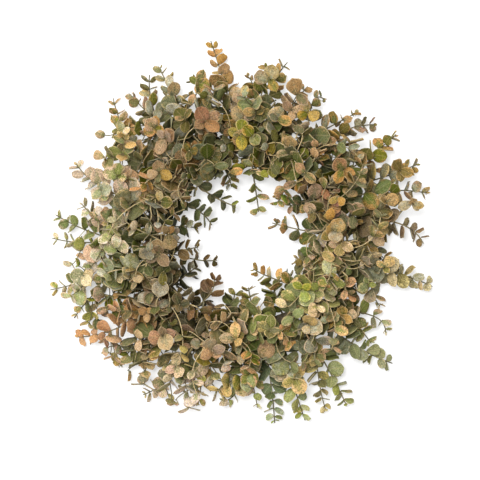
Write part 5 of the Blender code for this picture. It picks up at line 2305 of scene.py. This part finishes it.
def leaf_finish(name, roughness):
    """Matt dusty leaf that turns towards tip and margin, with flecks, veins, a paler back, a paler rim
    that is partly painted highlight, and painted shade at its base.
    """
    shared = colour_settings()
    made, tree, shader = shader_tree(name)
    links = tree.links
    core, bloom = (attribute_node(tree, "leaf_core").outputs[n] for n in ("Color", "Alpha"))
    edge, rim_and_highlight = (attribute_node(tree, "leaf_edge").outputs[n] for n in ("Color", "Alpha"))
    turn = attribute_node(tree, "leaf_turn").outputs["Fac"]
    marks = tree.nodes.new("ShaderNodeSeparateXYZ")
    links.new(attribute_node(tree, "leaf_marks").outputs["Vector"], marks.inputs[0])
    rim, under, stem = marks.outputs
    blade = math_node(tree, "SUBTRACT", 1.0, stem)
    outward, up = leaf_places(tree)
    where = object_places(tree)
    blotch = noise_node(tree, where, *BLOTCHES)
    fleck = noise_node(tree, where, *FLECKS)
    grain = noise_node(tree, where, *GRAIN)

    turned = turned_share(tree, outward, up, turn, blotch, fleck)
    colour = mix_node(tree, turned, core, edge)
    dusty = times(tree, bloom, ramp_node(tree, blotch, *BLOOM_RAMP))
    colour = mix_node(tree, dusty, colour, tuple(shared.bloom))

    tone = times(tree, ramp_node(tree, fleck, *FLECK_RAMP), ramp_node(tree, grain, *GRAIN_RAMP))
    # Painted shade: the base of a leaf is made darker where it meets its stem
    painted_base_shade = ramp_node(tree, up, *BASE_SHADE_RAMP)
    tone = times(tree, tone, math_node(tree, "MAXIMUM", painted_base_shade, stem))
    shaded = tree.nodes.new("ShaderNodeVectorMath")
    shaded.operation = "SCALE"
    links.new(colour, shaded.inputs[0])
    links.new(tone, shaded.inputs["Scale"])

    vein = vein_strength(tree, outward, up, blade)
    pale = mix_node(tree, 0.5, edge, PALE_RIM)
    colour = mix_node(tree, times(tree, vein, VEIN_STRENGTH), shaded.outputs[0], pale)
    # Pale rim: partly the leaf's own paler margin, partly painted highlight where its edge catches light
    band = ramp_node(tree, plus(tree, rim, centred(tree, fleck, RIM_RAGGED)), *RIM_RAMP)
    colour = mix_node(tree, times(tree, times(tree, band, blade), rim_and_highlight), colour, pale)
    colour = mix_node(tree, times(tree, under, UNDERSIDE_SHARE), colour, tuple(shared.underside))
    links.new(colour, shader.inputs["Base Color"])

    rough = ramp_node(tree, grain, *ROUGH_GRAIN, *(roughness + more for more in ROUGHNESS_SPREAD))
    links.new(rough, shader.inputs["Roughness"])
    shader.inputs["Specular IOR Level"].default_value = LEAF_SPECULAR
    shader.inputs["Subsurface Weight"].default_value = LEAF_SCATTER
    shader.inputs["Subsurface Radius"].default_value = LEAF_SCATTER_RADIUS
    shader.inputs["Subsurface Scale"].default_value = LEAF_SCATTER_SCALE
    height = plus(tree, times(tree, grain, GRAIN_HEIGHT), times(tree, vein, VEIN_HEIGHT))
    add_bump(tree, shader, height, *LEAF_BUMP)
    return made


LEAF_ROUGHNESS = {"leaf_sage": 0.62, "leaf_olive": 0.60, "leaf_moss": 0.62, "leaf_gold": 0.58,
                  "leaf_peach": 0.60, "leaf_cream": 0.60, "leaf_rust": 0.60, "leaf_rose": 0.62}


def finish_of(tint):
    """The leaf material of a tint, made once."""
    name = tint + "_finish"
    return bpy.data.materials.get(name) or leaf_finish(name, LEAF_ROUGHNESS[tint])


def frame_shift():
    """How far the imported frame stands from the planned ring."""
    low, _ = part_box("twig_ring")
    planned = [min(point[axis] for point in ring_shell()[0]) for axis in range(3)]
    return Vector([low[axis] - planned[axis] for axis in range(3)])


def make_sprays(layer):
    """All sprays of one layer, each in place of its solid."""
    shift = frame_shift()
    sprays = [group for group in plan_foliage() if group["layer"] == layer]
    for number, group in enumerate(sprays, 1):
        node = f"{layer}_spray_{number:02d}"
        mesh = spray_mesh(node + "_foliage", group, shift)
        mesh.materials.append(finish_of(group["tint"]))
        spray = bpy.data.objects.new(mesh.name, mesh)
        bpy.context.scene.collection.objects.link(spray)
        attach(spray, "root")
        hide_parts(node)


class WREATH_OT_outer_sprays(bpy.types.Operator):
    """Model the sprays that make the ragged outer edge"""
    bl_idname = "wreath.outer_sprays"
    bl_label = "Outer Sprays"

    def execute(self, context):
        make_sprays("outer")
        return {"FINISHED"}


class WREATH_OT_inner_sprays(bpy.types.Operator):
    """Model the short sprays round the hole"""
    bl_idname = "wreath.inner_sprays"
    bl_label = "Inner Sprays"

    def execute(self, context):
        make_sprays("inner")
        return {"FINISHED"}


class WREATH_OT_front_sprays(bpy.types.Operator):
    """Model the pale-stemmed sprays that arch over the ring"""
    bl_idname = "wreath.front_sprays"
    bl_label = "Front Sprays"

    def execute(self, context):
        make_sprays("front")
        return {"FINISHED"}


def join_up(context, parts, name, shift, finish):
    """Join parts into one smooth piece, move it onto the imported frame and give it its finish."""
    select_none()
    for part in parts:
        part.select_set(True)
    context.view_layer.objects.active = parts[0]
    bpy.ops.object.join()
    piece = context.object
    piece.name = name
    bpy.ops.object.shade_smooth()
    bpy.ops.transform.translate(value=shift)
    bpy.ops.object.transform_apply(location=True, rotation=True, scale=True)
    piece.data.materials.clear()
    piece.data.materials.append(finish)
    return piece


# Vine strands and thinner ones wound round them: radius, sides, swell of the gnarly surface, turns
VINE_SEGMENTS = 176
VINE_RADIUS = 5.0 * MM
VINE_SIDES = 10
VINE_SWELL = 0.16
TENDRIL_RADIUS = 1.3 * MM
TENDRIL_SIDES = 6
TENDRIL_SWELL = 0.2
TENDRIL_TURNS = (7, -5, 9)
# How deep a tendril lies in the strands, in its own radii, and where each starts, in radians
TENDRIL_DEPTH = 1.4
TENDRIL_START = 2.1
# Scales of the knots and of the finer roughness, and how much the finer one counts
KNOT_SCALE = 140.0
ROUGH_SCALE = 520.0
ROUGH_SHARE = 0.5


def wind_vine(vine, centre_radius, turns, start, swell):
    """Wind a torus round the ring's own line, with a gnarly surface."""
    for vertex in vine.data.vertices:
        place = vertex.co.copy()
        angle = math.atan2(place.y, place.x)
        wind = angle * turns + start
        out = Vector((math.cos(angle), math.sin(angle), 0.0))
        centre = out * (RING_RADIUS + centre_radius * math.cos(wind))
        centre.z = RING_HEIGHT + centre_radius * math.sin(wind)
        spoke = place - out * RING_RADIUS
        knots = noise(place * KNOT_SCALE + Vector((start, turns, 0)))
        rough = noise(place * ROUGH_SCALE)
        vertex.co = centre + spoke * (1.0 + swell * knots + swell * ROUGH_SHARE * rough)


# Bark: noise of the fibres and of worn patches, their ramps, tones of the fibres, and bump
FIBRES = (420.0, 6.0, 0.75)
PATCHES = (60.0, 3.0, 0.6)
FIBRE_RAMP = (0.3, 0.7)
PATCH_RAMP = (0.5, 0.75, 0.0, 0.5)
BARK_ROUGHNESS_RAMP = (0.2, 0.8, 0.7, 0.95)
DARK_FIBRE = 0.35
PALE_FIBRE = 2.1
WORN_BARK = (0.24, 0.18, 0.12)
BARK_BUMP = (0.8, 0.0008)


def bark_finish(name):
    """Dry vine bark with long fibres, cracks and pale worn places."""
    made, tree, shader = shader_tree(name)
    where = object_places(tree)
    fibre = noise_node(tree, where, *FIBRES)
    patch = noise_node(tree, where, *PATCHES)
    bark = tuple(colour_settings().bark)
    colour = mix_node(tree, ramp_node(tree, fibre, *FIBRE_RAMP), tuple(c * DARK_FIBRE for c in bark),
                      tuple(min(1.0, c * PALE_FIBRE) for c in bark))
    colour = mix_node(tree, ramp_node(tree, patch, *PATCH_RAMP), colour, WORN_BARK)
    tree.links.new(colour, shader.inputs["Base Color"])
    tree.links.new(ramp_node(tree, fibre, *BARK_ROUGHNESS_RAMP), shader.inputs["Roughness"])
    add_bump(tree, shader, fibre, *BARK_BUMP)
    return made


def add_vine(context, radius, sides):
    """Plain torus on the ring's own line."""
    select_none()
    bpy.ops.mesh.primitive_torus_add(major_segments=VINE_SEGMENTS, minor_segments=sides,
                                     major_radius=RING_RADIUS, minor_radius=radius)
    return context.object


class WREATH_OT_vine_ring(bpy.types.Operator):
    """Model the twisted vine ring under the leaves"""
    bl_idname = "wreath.vine_ring"
    bl_label = "Vine Ring"

    def execute(self, context):
        strands = []
        for number in range(STRANDS):
            vine = add_vine(context, VINE_RADIUS, VINE_SIDES)
            wind_vine(vine, STRAND_CREST - VINE_RADIUS, STRAND_TURNS, math.tau * number / STRANDS,
                      VINE_SWELL)
            strands.append(vine)
        for number, turns in enumerate(TENDRIL_TURNS):
            tendril = add_vine(context, TENDRIL_RADIUS, TENDRIL_SIDES)
            wind_vine(tendril, STRAND_CREST - TENDRIL_RADIUS * TENDRIL_DEPTH, turns,
                      number * TENDRIL_START, TENDRIL_SWELL)
            strands.append(tendril)
        ring = join_up(context, strands, "vine_ring", frame_shift(), bark_finish("vine_bark_finish"))
        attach(ring, "root")
        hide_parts("twig_ring")
        return {"FINISHED"}


# Wire ties: loops of wire side by side
TIE_WIRES = 3
TIE_WIRE_RADIUS = 0.55 * MM
TIE_WIRE_SEGMENTS = 40
TIE_WIRE_SIDES = 8
# Wire: noise of its wear, where the paint is gone, and bump
WEAR = (900.0, 4.0, 0.7)
WORN_RAMP = (0.62, 0.74)
WIRE_ROUGHNESS_RAMP = (0.3, 0.8, 0.38, 0.6)
BARE_STEEL = (0.38, 0.38, 0.36)
WIRE_BUMP = (0.3, 0.0002)


def wire_finish(name):
    """Green binding wire: worn paint over steel, lightly scratched."""
    made, tree, shader = shader_tree(name)
    wear = noise_node(tree, object_places(tree), *WEAR)
    worn = ramp_node(tree, wear, *WORN_RAMP)
    colour = mix_node(tree, worn, tuple(colour_settings().wire), BARE_STEEL)
    tree.links.new(colour, shader.inputs["Base Color"])
    tree.links.new(worn, shader.inputs["Metallic"])
    tree.links.new(ramp_node(tree, wear, *WIRE_ROUGHNESS_RAMP), shader.inputs["Roughness"])
    add_bump(tree, shader, wear, *WIRE_BUMP)
    return made


class WREATH_OT_wire_ties(bpy.types.Operator):
    """Model the wire ties that bind the stems to the ring"""
    bl_idname = "wreath.wire_ties"
    bl_label = "Wire Ties"

    def execute(self, context):
        shift = frame_shift()
        finish = wire_finish("tie_wire_finish")
        outer = STRAND_CREST + SEAT_GAP + TIE_THICKNESS
        for number, degrees in enumerate(TIE_ANGLES, 1):
            around = polar(1, degrees + 90)
            loops = []
            for turn in range(TIE_WIRES):
                select_none()
                offset = (turn - (TIE_WIRES - 1) / 2) * 2 * TIE_WIRE_RADIUS
                place = polar(RING_RADIUS, degrees, RING_HEIGHT) + around * offset
                bpy.ops.mesh.primitive_torus_add(
                    major_segments=TIE_WIRE_SEGMENTS, minor_segments=TIE_WIRE_SIDES,
                    major_radius=outer - TIE_WIRE_RADIUS, minor_radius=TIE_WIRE_RADIUS,
                    location=place, rotation=(math.pi / 2, 0, math.radians(degrees)))
                loops.append(context.object)
            tie = join_up(context, loops, f"tie_wires_{number}", shift, finish)
            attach(tie, "root")
            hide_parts(f"wire_tie_{number}")
        return {"FINISHED"}


# Floor with a faint tone in it
FLOOR_SIZE = 30.0
FLOOR_NOISE = (30.0, 2.0, 0.5)
FLOOR_TONE = 0.995
FLOOR_ROUGHNESS = 0.9
FLOOR_SPECULAR = 0.1
WHITE = (1.0, 1.0, 1.0, 1.0)
# Sizes and places of the lights
KEY_SIZE = 0.50
KEY_PLACE = (-0.24, 0.24, 1.95)
SIDE_SIZE = 0.8
SIDE_PLACE = (-1.1, 1.0, 1.35)
# The photo is this many pixels wide, and its middle lies this many from the wreath's
PHOTO_PIXELS = 480
MIDDLE_PIXELS = (-0.65, -9.7)
# Height at which the camera shows the whole frame width
VIEW_HEIGHT = 25 * MM


def aim(made, target):
    """Turn a light or a camera to face a point."""
    made.rotation_euler = (Vector(target) - made.location).to_track_quat("-Z", "Y").to_euler()


def add_light(context, name, power, size, place):
    """Square soft light that faces the wreath."""
    light = bpy.data.lights.new(name, "AREA")
    light.energy = power
    light.shape = "SQUARE"
    light.size = size
    lamp = bpy.data.objects.new(name, light)
    context.scene.collection.objects.link(lamp)
    lamp.location = place
    aim(lamp, (0, 0, 0))


def floor_finish(name, settings):
    """Pale, nearly even floor that glows a little."""
    made, tree, shader = shader_tree(name)
    tone = noise_node(tree, object_places(tree), *FLOOR_NOISE)
    pale = tuple(settings.floor_colour)
    colour = mix_node(tree, tone, tuple(c * FLOOR_TONE for c in pale), pale)
    tree.links.new(colour, shader.inputs["Base Color"])
    shader.inputs["Roughness"].default_value = FLOOR_ROUGHNESS
    shader.inputs["Specular IOR Level"].default_value = FLOOR_SPECULAR
    shader.inputs["Emission Color"].default_value = WHITE
    shader.inputs["Emission Strength"].default_value = settings.floor_glow
    return made


class WREATH_OT_stage(bpy.types.Operator):
    """Set the pale floor, the soft studio light and the camera above the wreath"""
    bl_idname = "wreath.stage"
    bl_label = "Stage"

    def execute(self, context):
        settings = context.scene.wreath_stage
        select_none()
        bpy.ops.mesh.primitive_plane_add(size=FLOOR_SIZE)
        floor = context.object
        floor.name = "floor"
        floor.data.materials.append(floor_finish("floor_finish", settings))

        world = bpy.data.worlds.new("studio")
        context.scene.world = world
        world.use_nodes = True
        background = world.node_tree.nodes["Background"]
        background.inputs["Color"].default_value = WHITE
        background.inputs["Strength"].default_value = settings.fill_strength
        add_light(context, "key", settings.key_power, KEY_SIZE, KEY_PLACE)
        add_light(context, "side", settings.side_power, SIDE_SIZE, SIDE_PLACE)

        lens = bpy.data.cameras.new("camera")
        lens.lens = settings.lens
        camera = bpy.data.objects.new("camera", lens)
        context.scene.collection.objects.link(camera)
        pixel = settings.frame_width / PHOTO_PIXELS
        distance = settings.frame_width * lens.lens / lens.sensor_width
        across, up = (count * pixel for count in MIDDLE_PIXELS)
        camera.location = (across, up, VIEW_HEIGHT + distance)
        camera.rotation_euler = (0, 0, 0)
        context.scene.camera = camera
        context.scene.view_settings.view_transform = "Standard"
        return {"FINISHED"}


OPERATORS = (WREATH_OT_outer_sprays, WREATH_OT_inner_sprays, WREATH_OT_front_sprays,
             WREATH_OT_vine_ring, WREATH_OT_wire_ties, WREATH_OT_stage)


class WREATH_PT_sidebar(bpy.types.Panel):
    """Sidebar panel with the wreath's sizes, colours and pieces"""
    bl_idname = "WREATH_PT_sidebar"
    bl_label = "Eucalyptus Wreath"
    bl_space_type = "VIEW_3D"
    bl_region_type = "UI"
    bl_category = "Wreath"

    def draw(self, context):
        scene = context.scene
        for settings in (scene.wreath_leaves, scene.wreath_colours, scene.wreath_stage):
            box = self.layout.box()
            for name in settings.__annotations__:
                box.prop(settings, name)
        for operator in OPERATORS:
            self.layout.operator(operator.bl_idname)


CLASSES = (WreathLeafSettings, WreathColourSettings, WreathStageSettings, *OPERATORS,
           WREATH_PT_sidebar)


def register():
    for item in CLASSES:
        bpy.utils.register_class(item)
    bpy.types.Scene.wreath_leaves = PointerProperty(type=WreathLeafSettings)
    bpy.types.Scene.wreath_colours = PointerProperty(type=WreathColourSettings)
    bpy.types.Scene.wreath_stage = PointerProperty(type=WreathStageSettings)


def unregister():
    del bpy.types.Scene.wreath_leaves
    del bpy.types.Scene.wreath_colours
    del bpy.types.Scene.wreath_stage
    for item in reversed(CLASSES):
        bpy.utils.unregister_class(item)


def main():
    register()
    bpy.ops.wreath.stage()
    bpy.ops.wreath.vine_ring()
    bpy.ops.wreath.wire_ties()
    bpy.ops.wreath.outer_sprays()
    bpy.ops.wreath.inner_sprays()
    bpy.ops.wreath.front_sprays()
    bpy.context.view_layer.update()


if __name__ == "__main__":
    main()
